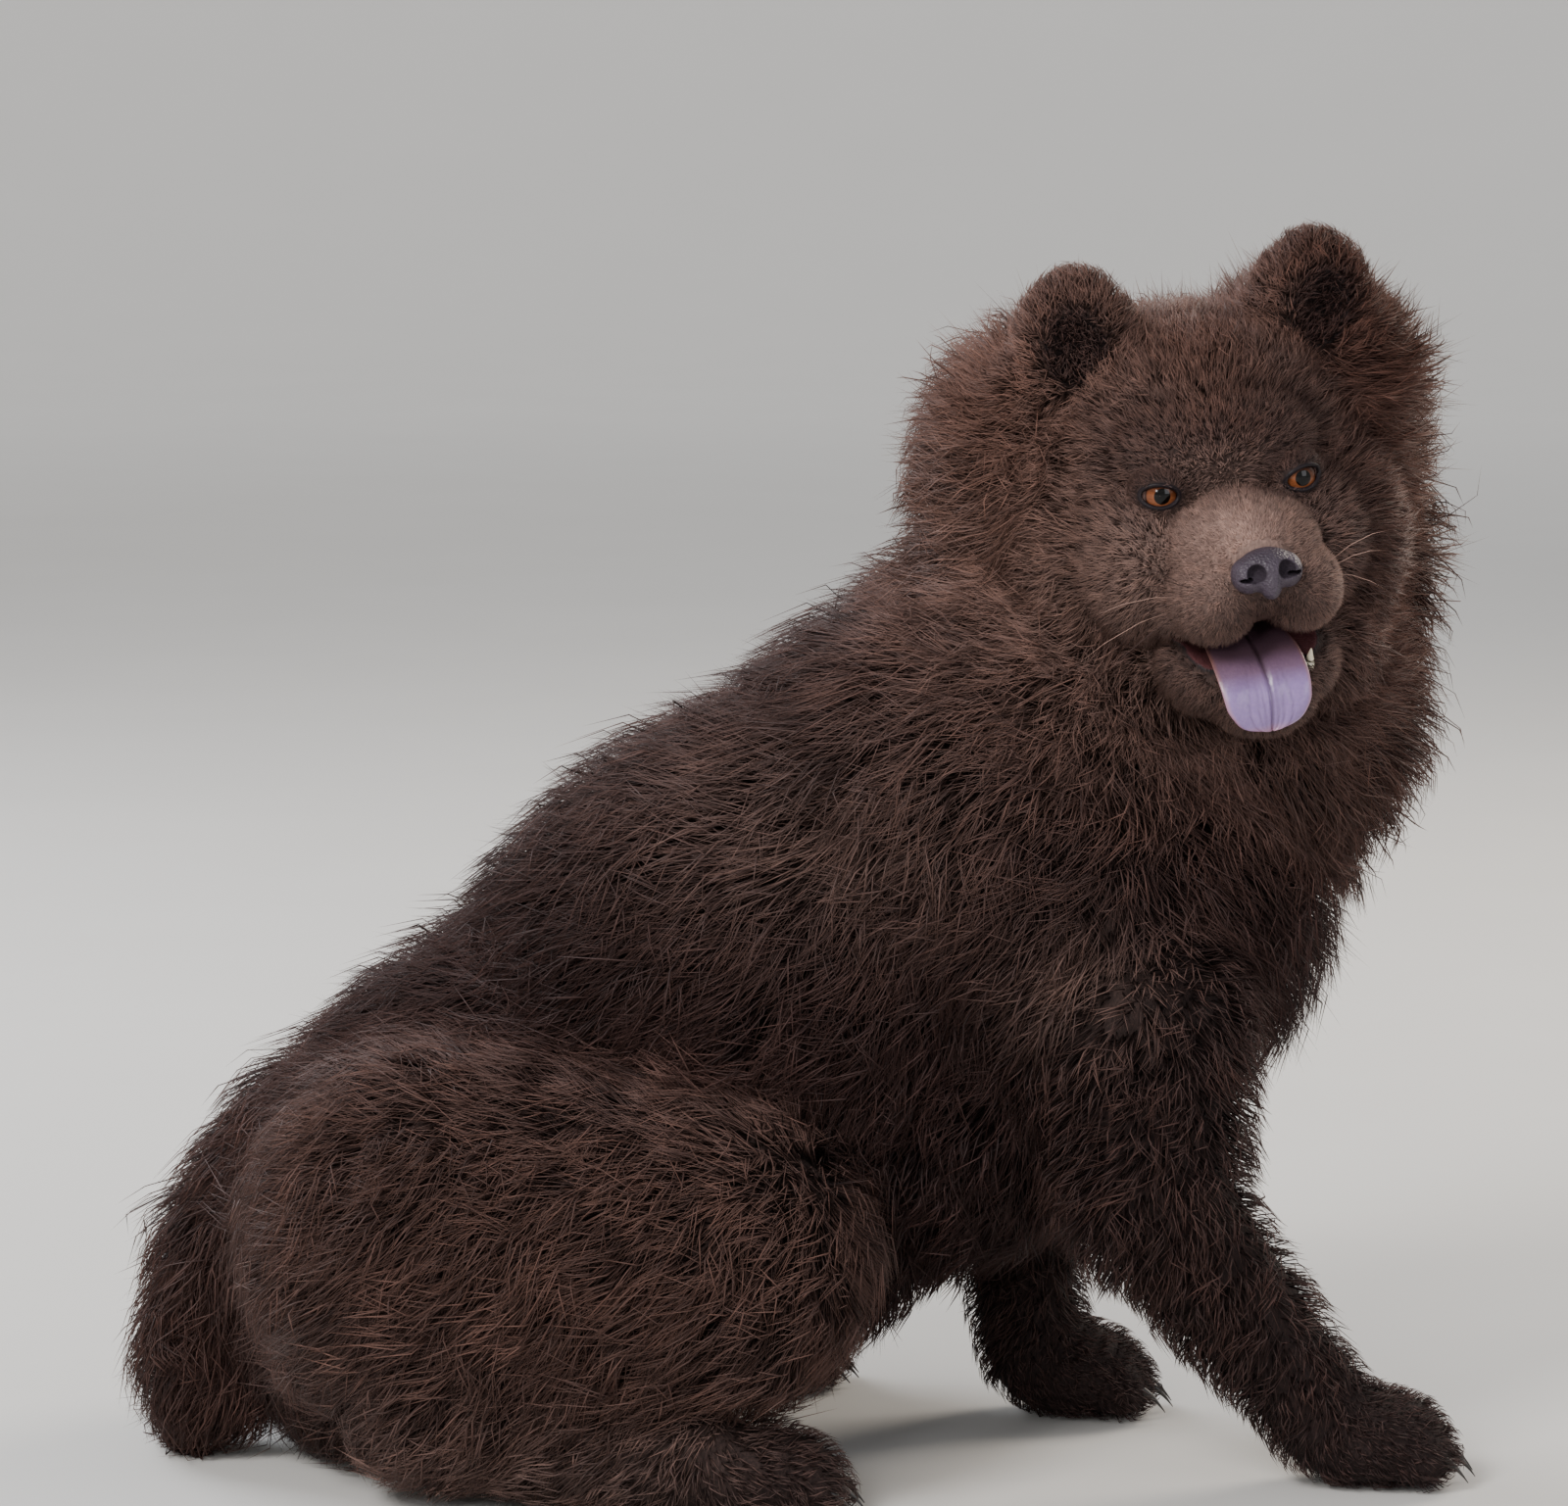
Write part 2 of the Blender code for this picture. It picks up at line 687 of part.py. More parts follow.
def canine_form():
    """The lower canine of the dog's left side, a round spike with a blunt tip."""
    root, tip = Vector(CANINE_ROOT), Vector(CANINE_TIP)
    axis = (tip - root).normalized()
    across = axis.orthogonal().normalized()
    other = axis.cross(across)
    sides, rings = 8, 4
    loops = []
    for index in range(rings + 1):
        along = index / rings
        size = CANINE_RADIUS * (1 - 0.93 * along**1.6)
        centre = root.lerp(tip, along)
        angles = (2 * math.pi * side / sides for side in range(sides))
        loops.append([HEAD @ (centre + size * (across * math.cos(angle) + other * math.sin(angle)))
                      for angle in angles])
    return object_from(loft(loops), "canine_left")


def eye_place(side):
    """The eyeball's frame: its X looks out of the head. Side is 1 for the dog's left eye."""
    middle = Matrix.Translation((-EYE_BACK, side * EYE_SIDE, 0))
    return HEAD @ middle @ Matrix.Rotation(math.radians(side * EYE_TOE_OUT), 4, "Z")


def eye_opening(side):
    """A flaring cutter of the opening between the lids."""
    width, height = EYE_OPENING
    bm = bmesh.new()
    depth = 0.030
    rotate = Matrix.Rotation(math.radians(90), 4, "Y")
    slant = Matrix.Rotation(math.radians(side * 8.0), 4, "X")
    matrix = (eye_place(side) @ Matrix.Translation((EYEBALL_RADIUS * 0.55 + depth / 2, 0, 0)) @ slant
              @ Matrix.Diagonal((1, width / height, 1, 1)) @ rotate)
    bmesh.ops.create_cone(
        bm, cap_ends=True, segments=16, radius1=height * 0.47, radius2=height * 1.05, depth=depth,
        matrix=matrix,
    )
    return object_from(bm, "opening")


def lid_form(side):
    bm = bmesh.new()
    size = EYEBALL_RADIUS + LID_THICKNESS
    add_ball(bm, eye_place(side) @ Matrix.Scale(size, 4), 14, 8)
    return object_from(bm, "lids")


def eyeball(side, name, growth=0.0):
    bm = bmesh.new()
    add_ball(bm, eye_place(side) @ Matrix.Scale(EYEBALL_RADIUS + growth, 4), 14, 8)
    return object_from(bm, name)


def ear_form(side, growth=0.0):
    """A thick, rounded ear that stands up and leans a little outwards."""
    lean = Matrix.Rotation(math.radians(-side * 10.0), 4, "X")
    x, y, z = EAR.centre
    place = HEAD @ Matrix.Translation((x, side * y + EARS_SHIFT, z)) @ lean @ turned(-12)
    bm = bmesh.new()
    matrix = place @ Matrix.Diagonal((*(radius + growth for radius in EAR.radii), 1))
    for vert in add_ball(bm, Matrix.Identity(4), 12, 9):
        narrowing = 1 - 0.28 * max(vert.co.z, 0)
        vert.co = matrix @ Vector((vert.co.x, vert.co.y * narrowing, vert.co.z))
    return object_from(bm, "ear")


def build_head(nose, canine):
    """The head and the lower jaw, which part along the line of the mouth, and the head's whole shape."""
    whole = fused("head", [(HEAD, mass, 1.0) for mass in SKULL], HEAD_VOXEL, 3, HEAD_FACES)
    shape = copy_of(whole)
    for side in (1, -1):
        combine(whole, lid_form(side), "UNION")
    for side in (1, -1):
        combine(whole, eyeball(side, "socket", GAP), "DIFFERENCE")
        combine(whole, eye_opening(side), "DIFFERENCE")
    combine(whole, lump_object(HEAD, MOUTH), "DIFFERENCE")
    combine(whole, philtrum(), "DIFFERENCE")
    combine(whole, copy_of(nose, GROWTH), "DIFFERENCE")
    combine(whole, tongue_form(GROWTH), "DIFFERENCE")
    jaw = crossed(whole, jaw_region(), "lower_jaw")
    combine(whole, jaw_region(GAP), "DIFFERENCE")
    combine(jaw, copy_of(canine, GROWTH), "DIFFERENCE")
    return whole, jaw, shape


def jaw_region(extra=0.0):
    """A box below the line of the mouth and in front of the hinge."""
    place = HEAD @ Matrix.Translation(JAW_HINGE) @ turned(JAW_LEAN)
    return box_object(place, (0, -0.08, -0.10), (0.12, 0.08, 0), extra)


def philtrum():
    """The groove that runs from the nose down to the upper lip."""
    place = HEAD @ Matrix.Translation((0.0455, 0, -0.046))
    return box_object(place @ Matrix.Rotation(math.radians(45), 4, "Z"), (-0.002, -0.002, -0.012),
                      (0.002, 0.002, 0.012))


def build_nose():
    nose = lump_object(HEAD, NOSE, segments=14, rings=8)
    form = copy_of(nose)
    for side in (1, -1):
        combine(nose, lump_object(HEAD, mirror_lump(NOSTRIL, side), segments=8, rings=6), "DIFFERENCE")
        combine(nose, lump_object(HEAD, mirror_lump(NOSTRIL_SLIT, side), segments=8, rings=6), "DIFFERENCE")
    nose.name = "nose"
    return nose, form


def claw_form(root, tip):
    """A short four-sided claw."""
    bm = bmesh.new()
    axis = tip - root
    matrix = Matrix.Translation((root + tip) / 2) @ axis.to_track_quat("Z", "Y").to_matrix().to_4x4()
    bmesh.ops.create_cone(bm, cap_ends=True, segments=4, radius1=CLAW_RADIUS, radius2=0,
                          depth=axis.length, matrix=matrix)
    return object_from(bm, "claw")


def paw_details(leg, paw):
    """Cuts the clefts between four toes in a paw, and joins their claws to it."""
    half_length, half_width, height = (radius + paw.coat for radius in paw.radii)
    for index in range(TOES - 1):
        side = (index - (TOES - 2) / 2) * TOE_WIDTH
        reach = half_length * math.sqrt(1 - (side / half_width) ** 2)
        place = Matrix.Translation(Vector(paw.centre) + Vector((reach, side, height * 0.30)))
        place = place @ turned(-38) @ Matrix.Rotation(math.radians(45), 4, "X")
        cleft = box_object(place, (-0.015, -0.0020, -0.0020), (0.013, 0.0020, 0.0020))
        combine(leg, cleft, "DIFFERENCE")
    for index in range(TOES):
        side = (index - (TOES - 1) / 2) * TOE_WIDTH
        reach = half_length * math.sqrt(1 - (side / half_width) ** 2)
        root = Vector(paw.centre) + Vector((reach - CLAW_LENGTH * CLAW_SUNK, side, -height * 0.30))
        tip = Vector((root.x + CLAW_LENGTH, side + paw.centre[1], CLAW_TIP_HEIGHT))
        combine(leg, claw_form(root, tip), "UNION")


def material(name, colour, roughness):
    found = bpy.data.materials.new(name)
    found.use_nodes = True
    found.diffuse_color = (*colour, 1)
    shader = found.node_tree.nodes["Principled BSDF"]
    shader.inputs["Base Color"].default_value = (*colour, 1)
    shader.inputs["Roughness"].default_value = roughness
    return found


def finish(nodes):
    """Gathers the nodes, gives each its material and stands them over the origin."""
    home = bpy.data.collections.new("chow_chow")
    bpy.context.scene.collection.children.link(home)
    corners = []
    for name, obj in nodes.items():
        keep_largest(obj)
        points = np.empty(len(obj.data.vertices) * 3, np.float32)
        obj.data.vertices.foreach_get("co", points)
        corners.append(points.reshape(-1, 3))
    points = np.concatenate(corners)
    middle = (points.min(axis=0) + points.max(axis=0)) / 2
    shift = Matrix.Translation((-float(middle[0]), -float(middle[1]), 0))
    for name, obj in nodes.items():
        obj.name = name
        obj.data.name = name
        obj.data.transform(shift)
        for owner in obj.users_collection:
            owner.objects.unlink(obj)
        home.objects.link(obj)
        colour, roughness = LOOKS.get(name, (COAT_COLOUR, 0.9))
        obj.data.materials.clear()
        obj.data.materials.append(material(name, colour, roughness))
        obj.data.shade_smooth()
        obj.data.set_sharp_from_angle(angle=math.radians(40))


def build_body():
    """The torso, tail and legs, cut from one skin, and the neck without the head's own room."""
    whole = fused("body", body_masses(CORE_SHARE), BODY_VOXEL, 3, BODY_FACES)
    combine(whole, box_object(BODY, (-FAR, -FAR, 0), (FAR, FAR, 2 * FAR)), "INTERSECT")
    skin = tree_of(whole)
    hind_left = mirror_lump(HIND_REGION, -1)
    regions = {
        "tail": lambda extra: lump_object(BODY, TAIL_REGION, extra),
        "hindleg_right": lambda extra: lump_object(BODY, HIND_REGION, extra, 32, 20),
        "hindleg_left": lambda extra: lump_object(BODY, hind_left, extra, 32, 20),
        "foreleg_right": lambda extra: leg_region(FORELEG_RIGHT, extra),
        "foreleg_left": lambda extra: leg_region(FORELEG_LEFT, extra),
        "neck": neck_region,
    }
    nodes = {}
    for name, region in regions.items():
        nodes[name] = crossed(whole, region(0.0), name)
        combine(whole, region(GAP), "DIFFERENCE")
    whole.name = "torso"
    nodes["torso"] = whole
    return nodes, skin


def main():
    for obj in list(bpy.data.objects):
        bpy.data.objects.remove(obj)
    nodes, skin = build_body()
    nose, nose_shape = build_nose()
    canine = canine_form()
    head, jaw, head_shape = build_head(nose_shape, canine)
    nodes["head"] = head
    nodes["lower_jaw"] = jaw
    nodes["nose"] = nose
    nodes["tongue"] = tongue_form()
    nodes["canine_left"] = canine
    remove(nose_shape)
    for side, name in ((-1, "right"), (1, "left")):
        nodes["eye_" + name] = eyeball(side, "eye_" + name)
        ear = ear_form(side)
        combine(nodes["neck"], ear_form(side, GROWTH), "DIFFERENCE")
        cup_place = HEAD @ Matrix.Translation((0, EARS_SHIFT, 0))
        combine(ear, lump_object(cup_place, mirror_lump(EAR_CUP, side), 0, 12, 8), "DIFFERENCE")
        combine(ear, copy_of(head_shape, GROWTH), "DIFFERENCE")
        nodes["ear_" + name] = ear
    combine(nodes["neck"], copy_of(head_shape, GROWTH), "DIFFERENCE")
    remove(head_shape)
    for name, masses in (("foreleg_right", FORELEG_RIGHT), ("foreleg_left", FORELEG_LEFT),
                         ("hindleg_right", HINDLEG_RIGHT), ("hindleg_left", HINDLEG_LEFT)):
        paw_details(nodes[name], masses[-1])
    rng = np.random.default_rng(SEED)
    masses = body_masses(CORE_SHARE)
    taken = []
    for name in COATS:
        grow_locks(name, nodes, skin, masses, taken, rng)
    finish(nodes)


main()
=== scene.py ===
"""The looks of a young chow chow that sits with its head turned to the camera.

One skin takes the place of the solids of flesh, and tufts of solid hairs grow from it along the lie
of the coat. Metres. The body's own frame has the dog facing +X, its left at +Y and the floor at Z = 0.
"""

import math
from typing import NamedTuple

import bmesh
import bpy
import numpy as np
from mathutils import Matrix, Vector
from mathutils.kdtree import KDTree


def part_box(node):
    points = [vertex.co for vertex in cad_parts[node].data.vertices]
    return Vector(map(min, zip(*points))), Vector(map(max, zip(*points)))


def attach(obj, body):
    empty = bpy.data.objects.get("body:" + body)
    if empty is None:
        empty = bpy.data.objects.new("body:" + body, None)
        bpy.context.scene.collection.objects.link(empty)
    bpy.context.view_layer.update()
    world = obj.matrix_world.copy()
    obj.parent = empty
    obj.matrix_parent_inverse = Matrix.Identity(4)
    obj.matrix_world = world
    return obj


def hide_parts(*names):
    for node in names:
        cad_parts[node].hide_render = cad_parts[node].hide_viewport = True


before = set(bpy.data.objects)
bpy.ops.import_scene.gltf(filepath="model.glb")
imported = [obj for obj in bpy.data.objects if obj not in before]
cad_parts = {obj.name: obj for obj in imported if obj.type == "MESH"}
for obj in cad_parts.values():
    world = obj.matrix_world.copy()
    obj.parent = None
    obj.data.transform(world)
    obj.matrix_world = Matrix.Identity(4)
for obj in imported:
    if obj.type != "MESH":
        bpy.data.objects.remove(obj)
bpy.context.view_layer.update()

EYES_MIDDLE = (0.191, -0.105, 0.444)
HEAD_YAW = 14.0
HEAD_PITCH = 6.0
HEAD_ROLL = 8.3
EYE_BACK = 0.0085
EYE_SIDE = 0.0317
EYE_TOE_OUT = 12.0
EYEBALL_RADIUS = 0.0100
EYE_SHIFTS = {1: (0, -0.0010, -0.0008), -1: (0, 0.0015, 0.0018)}
EYE_OPENING = (0.0168, 0.0104)
EYE_SLANT = 8.0
RIM_MARGIN = 0.0008

BODY_VOXEL = 0.0050
HEAD_VOXEL = 0.0018
UNDERCOAT = 0.30

PIECE_TRIANGLES = 195000
PATCH = 0.003


class Style(NamedTuple):
    """How hair grows on one region.

    Length and width are a hair's, low and high the shares of the coat's depth that tips reach, crowd
    the hairs for an area, clump how far hairs draw together, sway how far they bend, light and warm
    the tone, and lie the function that gives its direction.
    """

    length: float
    width: float
    low: float
    high: float
    crowd: float
    clump: float
    sway: float
    light: float
    warm: float
    lie: str


STYLES = {
    "back": Style(0.046, 0.00078, 0.50, 1.04, 1.00, 0.38, 0.20, 0.03, 0.15, "torso"),
    "chest": Style(0.038, 0.00075, 0.50, 1.04, 1.05, 0.32, 0.20, 0.00, 0.15, "torso"),
    "belly": Style(0.034, 0.00085, 0.45, 0.95, 0.70, 0.35, 0.20, 0.02, 0.12, "torso"),
    "thigh": Style(0.038, 0.00076, 0.50, 1.04, 1.00, 0.38, 0.22, 0.20, 0.38, "thigh"),
    # The hock's light tone is partly the coat's own and partly a painted sheen highlight.
    "hock": Style(0.022, 0.00080, 0.50, 1.04, 1.10, 0.45, 0.22, 0.42, 0.15, "thigh"),
    "hindpaw": Style(0.012, 0.00065, 0.50, 1.00, 1.60, 0.30, 0.15, 0.16, 0.15, "paw"),
    "foreleg": Style(0.020, 0.00072, 0.50, 1.04, 1.25, 0.35, 0.20, 0.06, 0.20, "leg"),
    "shin": Style(0.013, 0.00065, 0.50, 1.02, 1.60, 0.30, 0.18, 0.07, 0.15, "leg"),
    "paw": Style(0.008, 0.00055, 0.50, 1.00, 2.20, 0.25, 0.12, 0.08, 0.10, "paw"),
    "tail": Style(0.046, 0.00090, 0.45, 1.06, 1.20, 0.42, 0.25, 0.08, 0.30, "tail"),
    "ruff": Style(0.034, 0.00075, 0.45, 1.08, 1.25, 0.32, 0.22, 0.12, 0.38, "ruff"),
    "fringe": Style(0.017, 0.00058, 0.45, 1.08, 2.00, 0.26, 0.20, 0.20, 0.50, "ruff"),
    "crown": Style(0.012, 0.00055, 0.50, 1.05, 2.00, 0.25, 0.18, 0.37, 0.45, "head"),
    "cheek": Style(0.0080, 0.00046, 0.50, 1.05, 3.00, 0.20, 0.14, 0.40, 0.25, "head"),
    "brow": Style(0.0065, 0.00042, 0.50, 1.00, 3.60, 0.20, 0.12, 0.28, 0.20, "head"),
    "lid": Style(0.0038, 0.00036, 0.50, 1.00, 4.50, 0.15, 0.10, 0.10, 0.10, "head"),
    "muzzle": Style(0.0044, 0.00044, 0.45, 1.05, 5.00, 0.15, 0.12, 0.58, 0.30, "head"),
    "jaw": Style(0.0090, 0.00044, 0.50, 1.05, 3.60, 0.30, 0.16, 0.34, 0.25, "head"),
    "ear": Style(0.012, 0.00055, 0.50, 1.35, 2.60, 0.22, 0.18, 0.26, 0.50, "ear"),
}


class Growth(NamedTuple):
    """Regions that are grown together: their styles, how many hairs, points a hair, hairs a tuft."""

    styles: tuple
    hairs: int
    stations: int
    tuft: int


GROWTHS = [
    Growth(("ruff", "tail"), 14000, 4, 18),
    Growth(("back", "chest", "belly", "thigh", "hock"), 26000, 3, 16),
    Growth(("ruff", "tail"), 34000, 2, 16),
    Growth(("back", "chest", "belly", "thigh", "hock"), 65000, 2, 16),
    Growth(("foreleg", "shin", "paw", "hindpaw"), 9000, 3, 9),
    Growth(("foreleg", "shin", "paw", "hindpaw"), 11000, 2, 7),
    Growth(("fringe", "crown", "ear"), 19000, 3, 9),
    Growth(("fringe", "crown", "cheek", "brow", "lid", "muzzle", "jaw", "ear"), 72000, 2, 7),
]
LONG_STYLES = ("back", "chest", "belly", "thigh", "hock", "tail", "ruff")


class Mass(NamedTuple):
    """Flesh under a coat of some depth: an ellipsoid, or a rod between two balls."""

    style: str
    coat: float
    centre: tuple
    radii: tuple
    pitch: float = 0.0
    end: tuple = ()


def lump(style, coat, centre, radii, pitch=0.0):
    return Mass(style, coat, centre, radii, pitch)


def rod(style, coat, start, end, start_radius, end_radius):
    return Mass(style, coat, start, (start_radius, end_radius), 0.0, end)


TORSO = [
    lump("back", 0.038, (-0.165, 0, 0.094), (0.064, 0.080, 0.080)),
    lump("back", 0.038, (-0.112, 0, 0.136), (0.090, 0.078, 0.080), 38),
    lump("back", 0.042, (-0.010, 0, 0.205), (0.138, 0.084, 0.100), 42),
    lump("back", 0.044, (0.082, 0, 0.275), (0.082, 0.086, 0.090), 40),
    lump("chest", 0.048, (0.152, 0, 0.258), (0.060, 0.070, 0.070)),
    lump("belly", 0.036, (0.075, 0, 0.168), (0.095, 0.070, 0.060), 25),
    lump("belly", 0.034, (-0.030, 0, 0.112), (0.090, 0.070, 0.060), 10),
    lump("chest", 0.028, (0.128, -0.068, 0.232), (0.045, 0.034, 0.080), 15),
    lump("chest", 0.028, (0.118, 0.068, 0.232), (0.045, 0.034, 0.080), 5),
]
FORELEG_RIGHT = [
    rod("foreleg", 0.020, (0.156, -0.080, 0.205), (0.160, -0.084, 0.132), 0.040, 0.033),
    rod("foreleg", 0.013, (0.160, -0.084, 0.132), (0.219, -0.072, 0.056), 0.032, 0.022),
    rod("shin", 0.008, (0.219, -0.072, 0.056), (0.238, -0.070, 0.030), 0.022, 0.023),
    lump("paw", 0.005, (0.257, -0.068, 0.021), (0.035, 0.028, 0.021)),
]
FORELEG_LEFT = [
    rod("foreleg", 0.020, (0.130, 0.080, 0.205), (0.110, 0.082, 0.130), 0.040, 0.032),
    rod("foreleg", 0.012, (0.110, 0.082, 0.130), (0.110, 0.070, 0.054), 0.031, 0.022),
    rod("shin", 0.008, (0.110, 0.070, 0.054), (0.116, 0.067, 0.030), 0.022, 0.023),
    lump("paw", 0.005, (0.132, 0.066, 0.021), (0.034, 0.028, 0.021)),
]
HINDLEG_RIGHT = [
    rod("thigh", 0.032, (-0.146, -0.074, 0.110), (-0.030, -0.106, 0.110), 0.070, 0.050),
    rod("thigh", 0.026, (-0.030, -0.108, 0.106), (-0.150, -0.108, 0.050), 0.046, 0.026),
    rod("hock", 0.014, (-0.150, -0.108, 0.040), (-0.040, -0.124, 0.026), 0.022, 0.020),
    lump("hindpaw", 0.008, (-0.012, -0.126, 0.019), (0.036, 0.026, 0.019)),
]
TAIL = [
    rod("tail", 0.034, (-0.205, 0, 0.140), (-0.244, 0, 0.085), 0.020, 0.015),
    rod("tail", 0.034, (-0.244, 0, 0.085), (-0.258, -0.010, 0.036), 0.015, 0.010),
]
NECK = [
    rod("ruff", 0.046, (0.122, 0.000, 0.318), (0.172, 0.004, 0.400), 0.074, 0.056),
    lump("ruff", 0.048, (0.196, -0.004, 0.334), (0.052, 0.048, 0.048)),
]
HEAD_RUFF = [
    lump("ruff", 0.046, (-0.092, 0, -0.054), (0.026, 0.090, 0.086)),
    lump("ruff", 0.032, (-0.105, 0, -0.012), (0.040, 0.056, 0.046)),
    lump("ruff", 0.034, (-0.090, 0, 0.004), (0.026, 0.040, 0.032)),
    lump("ruff", 0.040, (-0.085, 0.055, 0.006), (0.024, 0.032, 0.032)),
    lump("ruff", 0.040, (-0.085, -0.055, 0.006), (0.024, 0.032, 0.032)),
]
SKULL = [
    lump("fringe", 0.019, (-0.047, 0.054, -0.036), (0.032, 0.022, 0.044)),
    lump("fringe", 0.019, (-0.056, -0.053, -0.040), (0.030, 0.022, 0.044)),
    lump("fringe", 0.017, (-0.034, 0.032, -0.083), (0.028, 0.025, 0.024)),
    lump("fringe", 0.017, (-0.044, -0.030, -0.086), (0.028, 0.025, 0.024)),
    lump("crown", 0.016, (-0.058, 0, 0.006), (0.052, 0.058, 0.052)),
    lump("brow", 0.006, (-0.024, 0, 0.014), (0.024, 0.044, 0.026)),
    lump("cheek", 0.008, (-0.036, 0.036, -0.032), (0.042, 0.028, 0.036)),
    lump("cheek", 0.008, (-0.036, -0.036, -0.032), (0.042, 0.028, 0.036)),
    lump("cheek", 0.005, (-0.010, 0.028, -0.047), (0.028, 0.016, 0.016)),
    lump("cheek", 0.005, (-0.010, -0.028, -0.047), (0.028, 0.016, 0.016)),
    lump("muzzle", 0.003, (0.004, 0.013, -0.026), (0.029, 0.020, 0.021), -12),
    lump("muzzle", 0.003, (0.004, -0.013, -0.026), (0.029, 0.020, 0.021), -12),
    lump("muzzle", 0.003, (0.006, 0, -0.021), (0.034, 0.026, 0.020), -10),
    lump("muzzle", 0.003, (0.018, 0, -0.034), (0.022, 0.027, 0.018)),
    lump("muzzle", 0.003, (0.016, 0.019, -0.042), (0.026, 0.018, 0.019)),
    lump("muzzle", 0.003, (0.016, -0.019, -0.042), (0.026, 0.018, 0.019)),
    lump("jaw", 0.010, (-0.030, 0, -0.070), (0.038, 0.034, 0.026), -10),
    lump("jaw", 0.006, (-0.002, 0, -0.080), (0.034, 0.028, 0.018), -18),
    lump("jaw", 0.004, (0.014, 0, -0.091), (0.020, 0.022, 0.013), -10),
    lump("jaw", 0.006, (-0.006, 0.021, -0.077), (0.029, 0.0165, 0.016), -14),
    lump("jaw", 0.006, (-0.006, -0.021, -0.077), (0.029, 0.0165, 0.016), -14),
]
EAR_FLESH = [
    lump("ear", 0.008, (0, 0, 0), (0.0110, 0.0235, 0.0310)),
    lump("ear", 0.011, (-0.004, 0.006, -0.017), (0.0130, 0.0350, 0.0240)),
]
EAR_CENTRE = (-0.052, 0.052, 0.060)
EAR_CUP = lump("ear", 0, (0.0165, 0.0040, 0.0040), (0.0135, 0.0155, 0.0210))
LID_THICKNESS = 0.0016
LID = lump("lid", 0.0028, (0, 0, 0), (EYEBALL_RADIUS + LID_THICKNESS,) * 3)
EARS_SHIFT = 0.005
EAR_LEAN = 10.0
EAR_PITCH = -12.0
NOSE = lump("muzzle", 0, (0.041, 0, -0.027), (0.0100, 0.0145, 0.0120))
MOUTH = lump("jaw", 0, (0.019, 0, -0.0655), (0.043, 0.0385, 0.0085), -20)

TONGUE_PATH = [
    (-0.006, -0.0635), (0.010, -0.0660), (0.024, -0.0705), (0.034, -0.0790), (0.037, -0.0890),
    (0.0355, -0.0975),
]
TONGUE_SIDE = -0.004
TONGUE_HALF_WIDTH = 0.0200
TONGUE_HALF_THICKNESS = 0.0034
CANINE_ROOT = (0.0190, 0.0200, -0.0860)
CANINE_TIP = (0.0225, 0.0215, -0.0700)


def turned(pitch):
    """A turn that lifts the front end by this many degrees."""
    return Matrix.Rotation(math.radians(-pitch), 4, "Y")


def head_place():
    """The head's frame in the body's: X forward, Y the dog's left, Z up, from between the eyes."""
    yaw, pitch, roll = (math.radians(angle) for angle in (HEAD_YAW, HEAD_PITCH, HEAD_ROLL))
    forward = Vector((math.sin(yaw) * math.cos(pitch), -math.cos(yaw) * math.cos(pitch), -math.sin(pitch)))
    level_left = Vector((math.cos(yaw), math.sin(yaw), 0))
    level_up = forward.cross(level_left)
    left = level_left * math.cos(roll) + level_up * math.sin(roll)
    up = level_up * math.cos(roll) - level_left * math.sin(roll)
    axes = Matrix((forward, left, up)).transposed().to_4x4()
    return Matrix.Translation(EYES_MIDDLE) @ axes


def frame_shift():
    """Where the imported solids' origin lies in the body's own frame, read from the two eyes."""
    middles = [(low + high) / 2 for low, high in (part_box("eye_right"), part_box("eye_left"))]
    shift = head_place() @ Vector((-EYE_BACK, 0, 0)) - (middles[0] + middles[1]) / 2
    return Vector((shift.x, shift.y, 0))


BODY = Matrix.Translation(-frame_shift())
HEAD = BODY @ head_place()


def mirrored(mass):
    """The same flesh on the other side of the body."""
    x, y, z = mass.centre
    end = (mass.end[0], -mass.end[1], mass.end[2]) if mass.end else ()
    return mass._replace(centre=(x, -y, z), end=end)


def ear_place(side):
    """An ear's frame: its X looks out of the cup and its Z runs up to the tip."""
    x, y, z = EAR_CENTRE
    lean = Matrix.Rotation(math.radians(-side * EAR_LEAN), 4, "X")
    return HEAD @ Matrix.Translation((x, side * y + EARS_SHIFT, z)) @ lean @ turned(EAR_PITCH)


def ear_cup(side):
    """The hollow of an ear, which lies a little to the ear's outer side."""
    return EAR_CUP if side > 0 else mirrored(EAR_CUP)


def eye_place(side):
    """An eyeball's frame: its X looks out of the head. Side is 1 for the dog's left eye."""
    middle = Matrix.Translation(Vector((-EYE_BACK, side * EYE_SIDE, 0)) + Vector(EYE_SHIFTS[side]))
    return HEAD @ middle @ Matrix.Rotation(math.radians(side * EYE_TOE_OUT), 4, "Z")


def toes(paw, place):
    """Four small lumps along the front of a paw."""
    length, width, height = paw.radii
    found = []
    for index in range(4):
        side = (index - 1.5) / 1.5 * width * 0.64
        reach = length * (0.62 if index in (0, 3) else 0.74)
        x, y, z = paw.centre
        radii = (height * 0.62, width * 0.29, height * 0.58)
        found.append((place, lump(paw.style, paw.coat, (x + reach, y + side, z * 0.66), radii)))
    return found


def body_flesh():
    hind = HINDLEG_RIGHT + [mirrored(mass) for mass in HINDLEG_RIGHT]
    found = [(BODY, mass) for mass in TORSO + FORELEG_RIGHT + FORELEG_LEFT + hind + TAIL + NECK]
    for paw in (FORELEG_RIGHT[-1], FORELEG_LEFT[-1], hind[3], hind[7]):
        found += toes(paw, BODY)
    return found + [(HEAD, mass) for mass in HEAD_RUFF]


def head_flesh():
    found = [(HEAD, mass) for mass in SKULL]
    for side in (1, -1):
        found += [(ear_place(side), mass if side > 0 else mirrored(mass)) for mass in EAR_FLESH]
        found.append((eye_place(side), LID))
    return found


